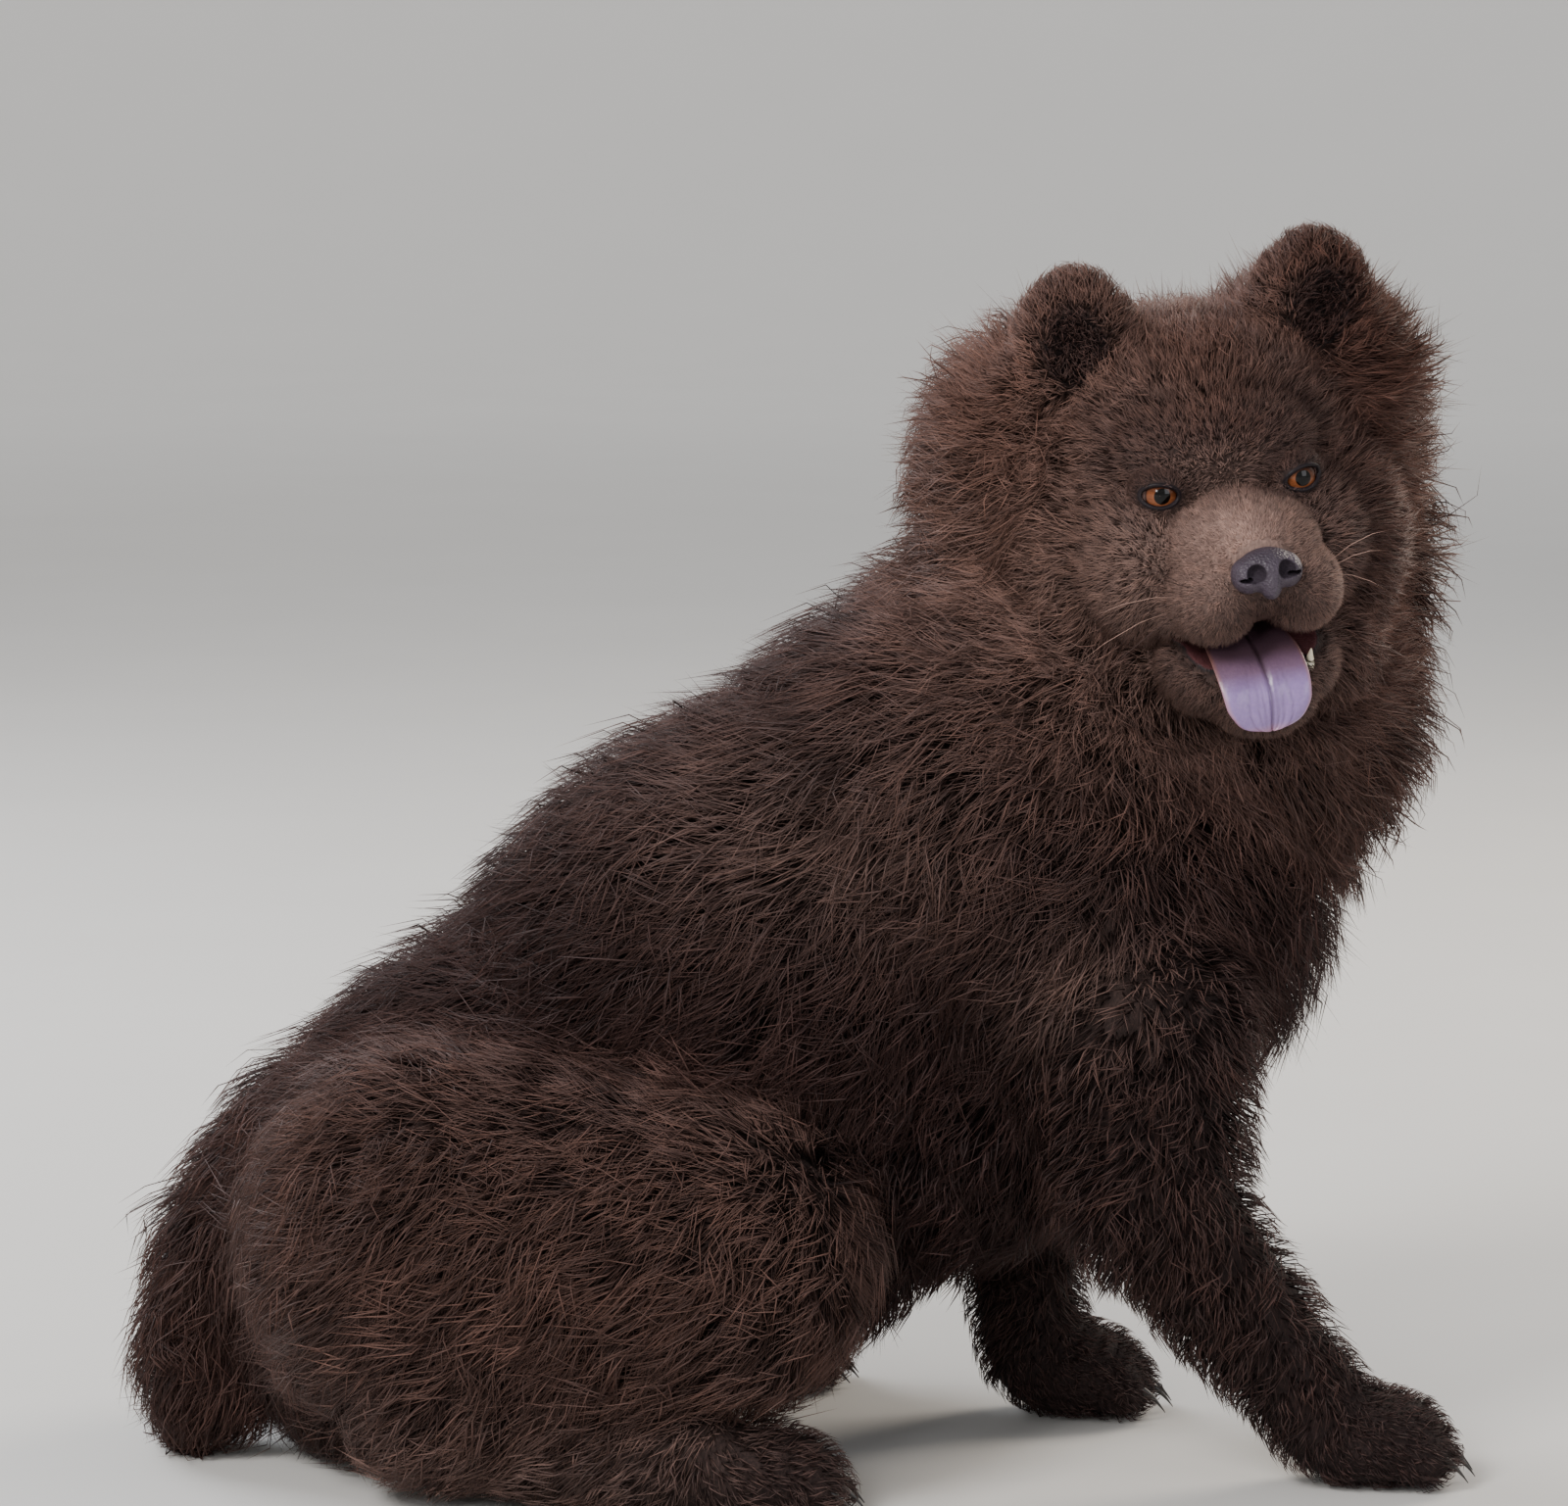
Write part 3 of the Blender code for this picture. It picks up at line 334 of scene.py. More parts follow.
def start_share(mass):
    """How much of the coat's depth the skin already takes, for the woolly undercoat of long hair."""
    return UNDERCOAT if mass.style in LONG_STYLES else 0.0


def new_object(name, mesh):
    found = bpy.data.objects.new(name, mesh)
    bpy.context.scene.collection.objects.link(found)
    return found


def object_from(bm, name):
    bmesh.ops.recalc_face_normals(bm, faces=bm.faces)
    mesh = bpy.data.meshes.new(name)
    bm.to_mesh(mesh)
    bm.free()
    return new_object(name, mesh)


def remove(obj):
    mesh = obj.data
    bpy.data.objects.remove(obj)
    bpy.data.meshes.remove(mesh)


def add_ball(bm, matrix, segments=32, rings=20):
    return bmesh.ops.create_uvsphere(bm, u_segments=segments, v_segments=rings, radius=1, matrix=matrix)


def lump_matrix(place, mass, extra=0.0):
    radii = [radius + extra for radius in mass.radii]
    return place @ Matrix.Translation(mass.centre) @ turned(mass.pitch) @ Matrix.Diagonal((*radii, 1))


def add_mass(bm, place, mass, extra):
    """The mass as a closed mesh, grown by extra."""
    if not mass.end:
        add_ball(bm, lump_matrix(place, mass, extra), 40, 26)
        return
    hull = bmesh.new()
    for centre, radius in ((mass.centre, mass.radii[0]), (mass.end, mass.radii[1])):
        add_ball(hull, place @ Matrix.Translation(centre) @ Matrix.Scale(radius + extra, 4), 32, 20)
    bmesh.ops.delete(hull, geom=hull.edges[:], context="EDGES_FACES")
    bmesh.ops.convex_hull(hull, input=hull.verts[:])
    bmesh.ops.delete(hull, geom=[vert for vert in hull.verts if not vert.link_faces], context="VERTS")
    mesh = bpy.data.meshes.new("rod")
    hull.to_mesh(mesh)
    hull.free()
    bm.from_mesh(mesh)
    bpy.data.meshes.remove(mesh)


def apply_modifiers(obj):
    graph = bpy.context.evaluated_depsgraph_get()
    mesh = bpy.data.meshes.new_from_object(obj.evaluated_get(graph))
    obj.modifiers.clear()
    old = obj.data
    obj.data = mesh
    bpy.data.meshes.remove(old)


def combine(target, tool, operation):
    """Joins or cuts the target with one closed mesh, which is used up."""
    boolean = target.modifiers.new(operation.lower(), "BOOLEAN")
    boolean.operation = operation
    boolean.solver = "MANIFOLD"
    boolean.object = tool
    apply_modifiers(target)
    remove(tool)


def fused(name, masses, voxel, smoothing):
    """One closed skin round all the masses."""
    bm = bmesh.new()
    for place, mass in masses:
        add_mass(bm, place, mass, start_share(mass) * mass.coat)
    obj = object_from(bm, name)
    remesh = obj.modifiers.new("fuse", "REMESH")
    remesh.mode = "VOXEL"
    remesh.voxel_size = voxel
    smooth = obj.modifiers.new("soften", "SMOOTH")
    smooth.factor = 0.5
    smooth.iterations = smoothing
    apply_modifiers(obj)
    return obj


def ball_object(matrix, segments=48, rings=32):
    bm = bmesh.new()
    add_ball(bm, matrix, segments, rings)
    return object_from(bm, "ball")


def eye_opening(side):
    """A flaring cutter of the opening between the lids."""
    width, height = EYE_OPENING
    depth = 0.030
    bm = bmesh.new()
    slant = Matrix.Rotation(math.radians(side * EYE_SLANT), 4, "X")
    matrix = (eye_place(side) @ Matrix.Translation((EYEBALL_RADIUS * 0.5 + depth / 2, 0, 0)) @ slant
              @ Matrix.Diagonal((1, width / height, 1, 1)) @ Matrix.Rotation(math.radians(90), 4, "Y"))
    bmesh.ops.create_cone(bm, cap_ends=True, segments=40, radius1=height * 0.42, radius2=height * 0.95,
                          depth=depth, matrix=matrix)
    return object_from(bm, "opening")


def build_skin():
    """The body, head and ears as one closed skin, with lids, the ears' cups and the open mouth."""
    head = fused("skin", head_flesh(), HEAD_VOXEL, 14)
    for side in (1, -1):
        lid_size = Matrix.Scale(EYEBALL_RADIUS + LID_THICKNESS, 4)
        combine(head, ball_object(eye_place(side) @ lid_size), "UNION")
    for side in (1, -1):
        combine(head, ball_object(eye_place(side) @ Matrix.Scale(EYEBALL_RADIUS + 0.0001, 4)), "DIFFERENCE")
        combine(head, eye_opening(side), "DIFFERENCE")
        combine(head, ball_object(lump_matrix(ear_place(side), ear_cup(side))), "DIFFERENCE")
    combine(head, ball_object(lump_matrix(HEAD, MOUTH)), "DIFFERENCE")
    body = fused("body", body_flesh(), BODY_VOXEL, 3)
    combine(head, body, "UNION")
    bm = bmesh.new()
    bm.from_mesh(head.data)
    for vert in bm.verts:
        vert.co.z = max(vert.co.z, 0.0008)
    bmesh.ops.triangulate(bm, faces=bm.faces[:])
    bm.to_mesh(head.data)
    bm.free()
    head.name = "skin"
    head.data.shade_smooth()
    return head


class Flesh:
    """The masses as arrays, for the depth, the coat and the lie at many points at once."""

    def __init__(self, placed):
        self.masses = [mass for _, mass in placed]
        self.coats = np.array([max(mass.coat, 0.002) for mass in self.masses])
        self.names = [mass.style for mass in self.masses]
        self.places = [np.array(self.frame_of(place, mass).inverted()) for place, mass in placed]

    @staticmethod
    def frame_of(place, mass):
        if not mass.end:
            return place @ Matrix.Translation(mass.centre) @ turned(mass.pitch)
        return place

    def depths(self, points):
        """How far each point lies outside each mass."""
        found = np.empty((len(points), len(self.masses)))
        for column, (mass, inverse) in enumerate(zip(self.masses, self.places)):
            local = points @ inverse[:3, :3].T + inverse[:3, 3]
            if mass.end:
                start, end = np.array(mass.centre), np.array(mass.end)
                axis = end - start
                along = np.clip((local - start) @ axis / (axis @ axis), 0, 1)
                radius = mass.radii[0] + along * (mass.radii[1] - mass.radii[0])
                found[:, column] = np.linalg.norm(local - start - along[:, None] * axis, axis=1) - radius
            else:
                scaled = np.linalg.norm(local / np.array(mass.radii), axis=1)
                length = np.linalg.norm(local, axis=1)
                found[:, column] = (scaled - 1) * length / np.maximum(scaled, 1e-6)
        return found

    def height(self, points):
        """The share of the coat's depth that each point has over the flesh, blended between masses."""
        shares = self.depths(points) / self.coats
        low = shares.min(axis=1, keepdims=True)
        spread = np.log(np.exp((low - shares) / SOFTNESS).sum(axis=1))
        return low[:, 0] - SOFTNESS * spread + SOFTNESS * 0.35

    def height_slope(self, points):
        base = self.height(points)
        slope = np.stack([self.height(points + STEP * axis) - base for axis in np.eye(3)], axis=1) / STEP
        return base, slope

    def weights(self, points, blend):
        """How much each mass counts at each point."""
        depths = self.depths(points)
        parts = np.exp((depths.min(axis=1, keepdims=True) - depths) / blend)
        return parts / parts.sum(axis=1, keepdims=True)


SOFTNESS = 0.08
STEP = 0.0005
LIE_BLEND = 0.005
TONE_BLEND = 0.014


def unit(vectors):
    return vectors / np.maximum(np.linalg.norm(vectors, axis=1, keepdims=True), 1e-9)


def blended(low, high, values):
    part = np.clip((values - low) / (high - low), 0, 1)
    return part * part * (3 - 2 * part)


def local_points(place, points):
    inverse = np.array(place.inverted())
    return points @ inverse[:3, :3].T + inverse[:3, 3]


def world_directions(place, directions):
    return directions @ np.array(place)[:3, :3].T


def torso_lie(points, normals):
    """Back along the spine, falling on the flanks and the chest."""
    own = local_points(BODY, points)
    chest = blended(0.10, 0.19, own[:, 0])[:, None]
    flank = (1 - np.maximum(normals[:, 2], 0))[:, None]
    backward = np.array([-0.80, 0, -0.45]) + np.array([0, 0, -0.55]) * flank
    return unit(backward) * (1 - chest) + np.array([-0.12, 0, -1.0]) * chest


def ruff_lie(points, normals):
    """Out and back from the face all round, falling a little there and wholly down the nape."""
    own = local_points(HEAD, points)
    behind = blended(0.105, 0.150, -own[:, 0])[:, None]
    spread = unit(np.stack([0 * own[:, 0], own[:, 1], own[:, 2] + 0.030], axis=1))
    around = world_directions(HEAD, spread) * (0.90 - 0.80 * behind)
    backward = np.array(HEAD)[:3, 0] * -0.60
    return around + backward + np.array([0, 0, -0.35]) - np.array([0, 0, 0.65]) * behind


def thigh_lie(points, normals):
    side = normals[:, 1:2] * np.array([0, 0.2, 0])
    return np.array([-0.75, 0, -0.60]) + side


def tail_lie(points, normals):
    return np.array([-0.35, 0, -0.90]) + normals[:, 1:2] * np.array([0, 0.35, 0])


def leg_lie(points, normals):
    return np.tile(np.array([-0.30, 0, -1.0]), (len(points), 1))


def paw_lie(points, normals):
    return np.array([1.0, 0, -0.25]) + normals[:, 1:2] * np.array([0, 0.35, 0])


def head_lie(points, normals):
    """Away from the nose over the whole face, and down on the muzzle's sides and the jaw."""
    own = local_points(HEAD, points)
    away = unit(own - np.array([0.046, 0, -0.022]))
    low = blended(-0.030, -0.060, own[:, 2])[:, None]
    return world_directions(HEAD, away + np.array([-0.45, 0, 0]) + np.array([0, 0, -0.55]) * low)


def ear_lie(points, normals):
    """Away from the ear's middle, mostly up and outwards."""
    own = local_points(HEAD, points)
    side = np.sign(own[:, 1:2] - EARS_SHIFT)
    ear_across = side * EAR_CENTRE[1] + EARS_SHIFT
    middle = np.concatenate([0 * side, ear_across, 0 * side + EAR_CENTRE[2] - 0.015], axis=1)
    away = (own - middle) * np.array([0.3, 1, 1])
    return world_directions(HEAD, unit(away) + np.array([-0.10, 0, 0.45]))


LIES = {
    "torso": torso_lie, "ruff": ruff_lie, "thigh": thigh_lie, "tail": tail_lie, "leg": leg_lie,
    "paw": paw_lie, "head": head_lie, "ear": ear_lie,
}


def lie_at(flesh, points, normals):
    """The coat's direction at each point, blended between the masses' own."""
    weights = flesh.weights(points, LIE_BLEND)
    found = np.zeros_like(points)
    for key, lie in LIES.items():
        columns = [index for index, name in enumerate(flesh.names) if STYLES[name].lie == key]
        share = weights[:, columns].sum(axis=1, keepdims=True)
        found += share * unit(lie(points, normals))
    return found


def style_values(flesh, points, blend, *fields):
    """Numbers of the style at each point, blended between masses: a row for each field."""
    own = np.array([[getattr(STYLES[name], field) for name in flesh.names] for field in fields])
    return own @ flesh.weights(points, blend).T


def in_ear_cup(points):
    """Whether a point lies on the inside of an ear."""
    found = np.zeros(len(points), bool)
    for side in (1, -1):
        own = local_points(ear_place(side) @ Matrix.Translation(ear_cup(side).centre), points)
        found |= np.linalg.norm(own / (np.array(EAR_CUP.radii) + 0.0006), axis=1) < 1
    return found


def mouth_depth(points):
    """How far outside the mouth's opening a point lies."""
    own = local_points(HEAD @ Matrix.Translation(MOUTH.centre) @ turned(MOUTH.pitch), points)
    scaled = np.linalg.norm(own / np.array(MOUTH.radii), axis=1)
    return (scaled - 1) * np.linalg.norm(own, axis=1) / np.maximum(scaled, 1e-6)


def eye_bareness(points):
    """From 1 on the eyeball's opening to 0 where hair grows."""
    found = np.zeros(len(points))
    for side in (1, -1):
        slant = Matrix.Rotation(math.radians(side * EYE_SLANT), 4, "X")
        own = local_points(eye_place(side) @ slant, points)
        half_width, half_height = (size / 2 + RIM_MARGIN for size in EYE_OPENING)
        ring = np.hypot(own[:, 1] / half_width, own[:, 2] / half_height)
        found = np.maximum(found, (own[:, 0] > 0.002) * (own[:, 0] < 0.03) * (1 - blended(0.9, 1.05, ring)))
    return found


def nose_depth(points):
    own = local_points(HEAD @ Matrix.Translation(NOSE.centre), points)
    scaled = np.linalg.norm(own / np.array(NOSE.radii), axis=1)
    return (scaled - 1) * np.linalg.norm(own, axis=1) / np.maximum(scaled, 1e-6)


def mesh_arrays(obj):
    """The corners, triangles and smooth normals of a triangulated mesh."""
    mesh = obj.data
    points = np.empty(len(mesh.vertices) * 3, np.float32)
    mesh.vertices.foreach_get("co", points)
    normals = np.empty(len(mesh.vertices) * 3, np.float32)
    mesh.vertex_normals.foreach_get("vector", normals)
    corners = np.empty(len(mesh.polygons) * 3, np.int32)
    mesh.polygons.foreach_get("vertices", corners)
    return points.reshape(-1, 3).astype(float), corners.reshape(-1, 3), normals.reshape(-1, 3).astype(float)


def unwrap(obj):
    """Lays the skin out flat by its own shape, in the map that the coat's tufts share."""
    bpy.ops.object.select_all(action="DESELECT")
    obj.select_set(True)
    bpy.context.view_layer.objects.active = obj
    obj.data.uv_layers.new(name="OFBake")
    bpy.ops.object.mode_set(mode="EDIT")
    bpy.ops.mesh.select_all(action="SELECT")
    bpy.ops.uv.smart_project(angle_limit=math.radians(66), island_margin=0.002)
    bpy.ops.object.mode_set(mode="OBJECT")
    found = np.empty(len(obj.data.loops) * 2, np.float32)
    obj.data.uv_layers["OFBake"].uv.foreach_get("vector", found)
    return found.reshape(-1, 3, 2)


class Roots(NamedTuple):
    """Where hairs grow.

    Places, normals, places on the skin's flat layout, styles, and whether in an ear's cup.
    """

    points: np.ndarray
    normals: np.ndarray
    flat: np.ndarray
    names: np.ndarray
    cup: np.ndarray


LIP_WIDTH = 0.0026


def crowding(skin, flesh):
    """Each triangle of the skin with its area, its region's style and how crowded its hairs are."""
    points, faces, normals = mesh_arrays(skin)
    corners = points[faces]
    first_side = corners[:, 1] - corners[:, 0]
    second_side = corners[:, 2] - corners[:, 0]
    areas = np.linalg.norm(np.cross(first_side, second_side), axis=1) / 2
    middles = corners.mean(axis=1)
    names = np.array(flesh.names)[flesh.weights(middles, LIE_BLEND).argmax(axis=1)]
    crowd = areas * np.array([STYLES[name].crowd for name in names])
    crowd[in_ear_cup(middles)] *= 0.6
    bare = (mouth_depth(middles) < LIP_WIDTH) | (nose_depth(middles) < 0.0004) | (middles[:, 2] < 0.0015)
    bare |= eye_bareness(middles) > 0.5
    crowd[bare] = 0
    return corners, normals[faces], names, crowd


def scatter(corners, normals, names, crowd, flat, growth, rng):
    """Roots over the triangles of some regions."""
    chance = crowd * np.isin(names, growth.styles)
    picks = rng.choice(len(chance), growth.hairs, p=chance / chance.sum())
    first, second = rng.random((2, growth.hairs))
    over = first + second > 1
    first[over], second[over] = 1 - first[over], 1 - second[over]
    shares = np.stack([1 - first - second, first, second], axis=1)[:, :, None]
    places = (corners[picks] * shares).sum(axis=1)
    facing = unit((normals[picks] * shares).sum(axis=1))
    spots = (flat[picks] * shares).sum(axis=1)
    return Roots(places, facing, spots, names[picks], in_ear_cup(places))


def turned_about(vectors, axes, angles):
    """Each vector turned about its own unit axis."""
    cosine, sine = np.cos(angles)[:, None], np.sin(angles)[:, None]
    along = (vectors * axes).sum(axis=1, keepdims=True)
    return vectors * cosine + np.cross(axes, vectors) * sine + axes * along * (1 - cosine)


SUNK = 0.0012
STRAYS = 0.10
FLOOR = 0.0006


def march(flesh, roots, stations, tufts, rng):
    """Leads each hair from its root along the lie while it rises to its share of the coat's depth.

    The hairs of a tuft share part of their turn, their reach and their height.
    """
    count = len(roots.points)
    most = tufts.max() + 1
    fields = ("length", "width", "low", "high", "clump", "sway")
    value = dict(zip(fields, style_values(flesh, roots.points, LIE_BLEND, *fields)))
    lengths = value["length"] * rng.uniform(0.70, 1.20, count) * rng.uniform(0.75, 1.25, most)[tufts]
    height_share = 0.55 * rng.beta(2.0, 1.3, count) + 0.45 * rng.beta(2.0, 1.3, most)[tufts]
    tips = value["low"] + (value["high"] - value["low"]) * height_share
    tips *= np.where(rng.random(count) < STRAYS, 1.20, 1.0)
    turn = rng.normal(0, 0.28, count) + rng.normal(0, 0.26, most)[tufts]
    start = np.clip(flesh.height(roots.points), 0, 0.6)
    lines = np.empty((count, stations, 3))
    facing = np.empty((count, stations, 3))
    at = roots.points.copy()
    normals = roots.normals.copy()
    lines[:, 0] = at - normals * SUNK
    facing[:, 0] = normals
    for station in range(1, stations):
        part = station / (stations - 1)
        lie = turned_about(unit(lie_at(flesh, at, normals)), normals, turn * (0.5 + part))
        tangent = unit(lie - normals * (lie * normals).sum(axis=1, keepdims=True))
        at = at + tangent * (lengths / (stations - 1) * (0.72 if station == 1 else 1.0))[:, None]
        height, slope = flesh.height_slope(at)
        steep = np.maximum(np.linalg.norm(slope, axis=1), 8.0)
        rise = start + (tips - start) * math.sin(part * math.pi / 2) ** 0.85
        normals = unit(slope)
        shift = np.clip((rise - height) / steep, -0.03, 0.05)
        at = at + normals * shift[:, None]
        at[:, 2] = np.maximum(at[:, 2], FLOOR + 0.002 * rng.random(count))
        lines[:, station] = at
        facing[:, station] = normals
    return lines, facing, value


def in_cup(roots, stations, rng):
    """Short hairs that stand up inside the ears."""
    own = local_points(HEAD, roots.points)
    side = np.sign(own[:, 1:2] - EARS_SHIFT)
    toward = world_directions(HEAD, np.array([0.45, 0, 0.30]) + side * np.array([0, 0.35, 0]))
    toward = unit(toward + rng.normal(0, 0.40, toward.shape))
    lengths = rng.uniform(0.005, 0.012, len(toward))[:, None]
    steps = np.linspace(0, 1, stations)
    lines = np.stack([roots.points - roots.normals * SUNK * (step == 0) + toward * lengths * step
                      + np.array([0, 0, 0.003]) * step * step for step in steps], axis=1)
    return lines


def sway(lines, facing, amounts, rng):
    """Bends hairs sideways, more towards their tips."""
    stations = lines.shape[1]
    run = lines[:, -1] - lines[:, 0]
    across = unit(np.cross(run, facing[:, -1]))
    size = np.linalg.norm(run, axis=1) * amounts * rng.normal(0, 1, len(lines))
    phase = rng.uniform(0, 2 * math.pi, len(lines))
    for station in range(1, stations):
        part = station / (stations - 1)
        bend = size * (part**1.6 + 0.25 * np.sin(phase + 4.5 * part) * part)
        lines[:, station] += across * bend[:, None]


def tufts_of(points, size, rng):
    """Which leading hair is nearest to each root, and each tuft's leader."""
    leaders = rng.choice(len(points), max(1, len(points) // size), replace=False)
    tree = KDTree(len(leaders))
    for index, leader in enumerate(leaders):
        tree.insert(Vector(points[leader]), index)
    tree.balance()
    return np.array([tree.find(Vector(point))[1] for point in points]), leaders


def draw_together(points, lines, clump, tufts, leaders, rng):
    """Draws the hairs of a tuft towards its leader, more at their tips."""
    stations = lines.shape[1]
    lead = leaders[tufts]
    offset = points - points[lead]
    leading = lines[lead].copy()
    firm = clump * rng.uniform(0.35, 1.35, len(leaders))[tufts]
    for station in range(1, stations):
        part = station / (stations - 1)
        pull = np.clip(firm * part**1.3, 0, 0.9)[:, None]
        goal = leading[:, station] + offset * (1 - 0.75 * part)
        lines[:, station] = lines[:, station] * (1 - pull) + goal * pull


RING_WIDTHS = {2: (1.25,), 3: (0.75, 1.0), 4: (0.70, 1.0, 0.72)}
TRIANGLES_A_HAIR = {2: 4, 3: 10, 4: 16}


def tuft_mesh(name, lines, facing, widths, flat, tones):
    """All the hairs as one mesh of closed, three-sided, tapering blades.

    Each blade's patch on the flat layout is round its root's place there.
    """
    count, stations = lines.shape[:2]
    rings = stations - 1
    runs = unit((lines[:, 1:] - lines[:, :-1]).reshape(-1, 3)).reshape(count, rings, 3)
    points = np.empty((count, rings * 3 + 1, 3))
    layout = np.empty((count, rings * 3 + 1, 2))
    along = np.empty((count, rings * 3 + 1))
    for ring in range(rings):
        run = runs[:, ring]
        across = unit(np.cross(run, facing[:, ring]))
        up = np.cross(across, run)
        half = (widths * RING_WIDTHS[stations][ring] / 2)[:, None]
        centre = lines[:, ring]
        first = ring * 3
        points[:, first] = centre + across * half - up * half * 0.35
        points[:, first + 1] = centre - across * half - up * half * 0.35
        points[:, first + 2] = centre + up * half * 0.75
        part = ring / rings
        for corner, side in enumerate((0.5, -0.5, 0.0)):
            layout[:, first + corner] = flat + PATCH * np.array([side * 0.9, part - 0.5])
        along[:, first:first + 3] = part
    points[:, -1] = lines[:, -1]
    layout[:, -1] = flat + PATCH * np.array([0, 0.5])
    along[:, -1] = 1
    layout = np.clip(layout, 0.0005, 0.9995)
    faces = [(0, 1, 2)]
    for ring in range(rings - 1):
        low, high = ring * 3, ring * 3 + 3
        for corner in range(3):
            after = (corner + 1) % 3
            faces.append((low + corner, high + after, low + after))
            faces.append((low + corner, high + corner, high + after))
    last = rings * 3 - 3
    for corner in range(3):
        faces.append((last + corner, rings * 3, last + (corner + 1) % 3))
    faces = np.array(faces)
    size = rings * 3 + 1
    every = (faces[None] + (np.arange(count) * size)[:, None, None]).reshape(-1, 3)
    mesh = mesh_of(name, points.reshape(-1, 3), every)
    put_layout(mesh, layout.reshape(-1, 2)[every.reshape(-1)])
    put_values(mesh, "along", along.reshape(-1))
    for key, values in tones.items():
        put_values(mesh, key, np.repeat(values, size))
    return new_object(name, mesh)


def mesh_of(name, points, triangles):
    mesh = bpy.data.meshes.new(name)
    mesh.vertices.add(len(points))
    mesh.vertices.foreach_set("co", points.astype(np.float32).ravel())
    mesh.loops.add(triangles.size)
    mesh.loops.foreach_set("vertex_index", triangles.astype(np.int32).ravel())
    mesh.polygons.add(len(triangles))
    mesh.polygons.foreach_set("loop_start", np.arange(0, triangles.size, 3, dtype=np.int32))
    mesh.update(calc_edges=True)
    mesh.shade_smooth()
    return mesh


def put_layout(mesh, flat):
    layer = mesh.uv_layers.new(name="OFBake")
    layer.uv.foreach_set("vector", flat.astype(np.float32).ravel())


def put_values(mesh, key, values):
    mesh.attributes.new(key, "FLOAT", "POINT").data.foreach_set("value", values.astype(np.float32))


def patch(own, centre, spread):
    """From 1 at a centre to 0 far from it, in the frame of the points."""
    return np.exp(-(((own - np.array(centre)) / np.array(spread)) ** 2).sum(axis=1))


def markings_and_painted_light(points, light, warm):
    """The coat's light and warm tones with its marks, and painted light and shade on the two sides of the
    head and ruff. Skin and coat share it.
    """
    own = local_points(BODY, points)
    face = local_points(HEAD, points)
    light = light + 0.24 * patch(own, (0.02, -0.08, 0.295), (0.085, 0.12, 0.042))
    light += 0.30 * patch(own, (0.135, -0.10, 0.235), (0.030, 0.06, 0.030))
    # Painted light: the dog's right side of the head and ruff, turned to the key lamp, is made lighter.
    light += 0.22 * patch(face, (-0.05, -0.10, -0.02), (0.07, 0.06, 0.08))
    # Painted shade: the front of the dog's left side of the head, away from the key lamp, is made darker.
    light *= 1 - 0.60 * blended(0.035, 0.070, face[:, 1]) * blended(-0.18, -0.12, face[:, 0])
    warm = warm + 0.55 * patch(face, (-0.06, 0.12, -0.04), (0.06, 0.05, 0.10))
    warm += 0.25 * patch(face, (-0.05, -0.085, 0.02), (0.08, 0.03, 0.05))
    warm += 0.30 * patch(face, (-0.02, 0, 0.045), (0.06, 0.020, 0.022))
    for side in (1, -1):
        eye = local_points(eye_place(side), points)
        light *= 1 - 0.80 * patch(eye, (0.006, 0, 0.001), (0.012, 0.0145, 0.0105))
    light += 0.42 * patch(face, (0.012, -0.004, -0.012), (0.045, 0.024, 0.018))
    light += 0.12 * patch(face, (-0.015, -0.040, -0.030), (0.05, 0.022, 0.026))
    light *= 1 - 0.50 * patch(face, (0.0, 0, 0.024), (0.05, 0.045, 0.009))
    light *= 1 - 0.55 * patch(face, (0.045, 0, -0.046), (0.030, 0.018, 0.010))
    light *= 0.45 + 0.55 * blended(0.0005, 0.0090, mouth_depth(points))
    return np.clip(light, 0, 1), np.clip(warm, 0, 1)


def tones_of(flesh, roots, tufts, rng):
    """Per hair: how light, how warm, and its own shade, which a clump's hairs share in part."""
    light, warm = markings_and_painted_light(roots.points, *style_values(flesh, roots.points, TONE_BLEND, "light", "warm"))
    clump_shade = rng.normal(0, 1, tufts.max() + 1)[tufts]
    shade = 0.5 + 0.17 * rng.normal(0, 1, len(light)) + 0.15 * clump_shade
    light[roots.cup] *= 0.25
    warm[roots.cup] *= 0.4
    return {"light": light, "warm": warm, "shade": np.clip(shade, 0, 1)}


def grow_coat(skin, flat, flesh, coat_material):
    """Every tuft of the coat, in pieces by region."""
    rng = np.random.default_rng(7)
    corners, normals, names, crowd = crowding(skin, flesh)
    for number, growth in enumerate(GROWTHS, 1):
        roots = scatter(corners, normals, names, crowd, flat, growth, rng)
        tufts, leaders = tufts_of(roots.points, growth.tuft, rng)
        lines, facing, value = march(flesh, roots, growth.stations, tufts, rng)
        cup = roots.cup
        if cup.any():
            lines[cup] = in_cup(Roots(*(values[cup] for values in roots)), growth.stations, rng)
        sway(lines, facing, value["sway"], rng)
        draw_together(roots.points, lines, value["clump"] * ~cup, tufts, leaders, rng)
        lines[:, 1:, 2] = np.maximum(lines[:, 1:, 2], FLOOR)
        widths = value["width"] * rng.uniform(0.75, 1.25, len(lines))
        tones = tones_of(flesh, roots, tufts, rng)
        limit = PIECE_TRIANGLES // TRIANGLES_A_HAIR[growth.stations]
        for title, chosen in regions(roots.names, roots.points).items():
            indices = np.flatnonzero(chosen)
            parts = math.ceil(len(indices) / limit)
            order = indices[np.argsort(roots.points[indices, 0], kind="stable")]
            for part, own in enumerate(np.array_split(order, parts)):
                name = f"{title}_{number}" if parts == 1 else f"{title}_{number}_{part + 1}"
                some = {key: values[own] for key, values in tones.items()}
                obj = tuft_mesh(name, lines[own], facing[own], widths[own], roots.flat[own], some)
                obj.data.materials.append(coat_material)
                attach(obj, "root")
    grow_whiskers(roots, coat_material)


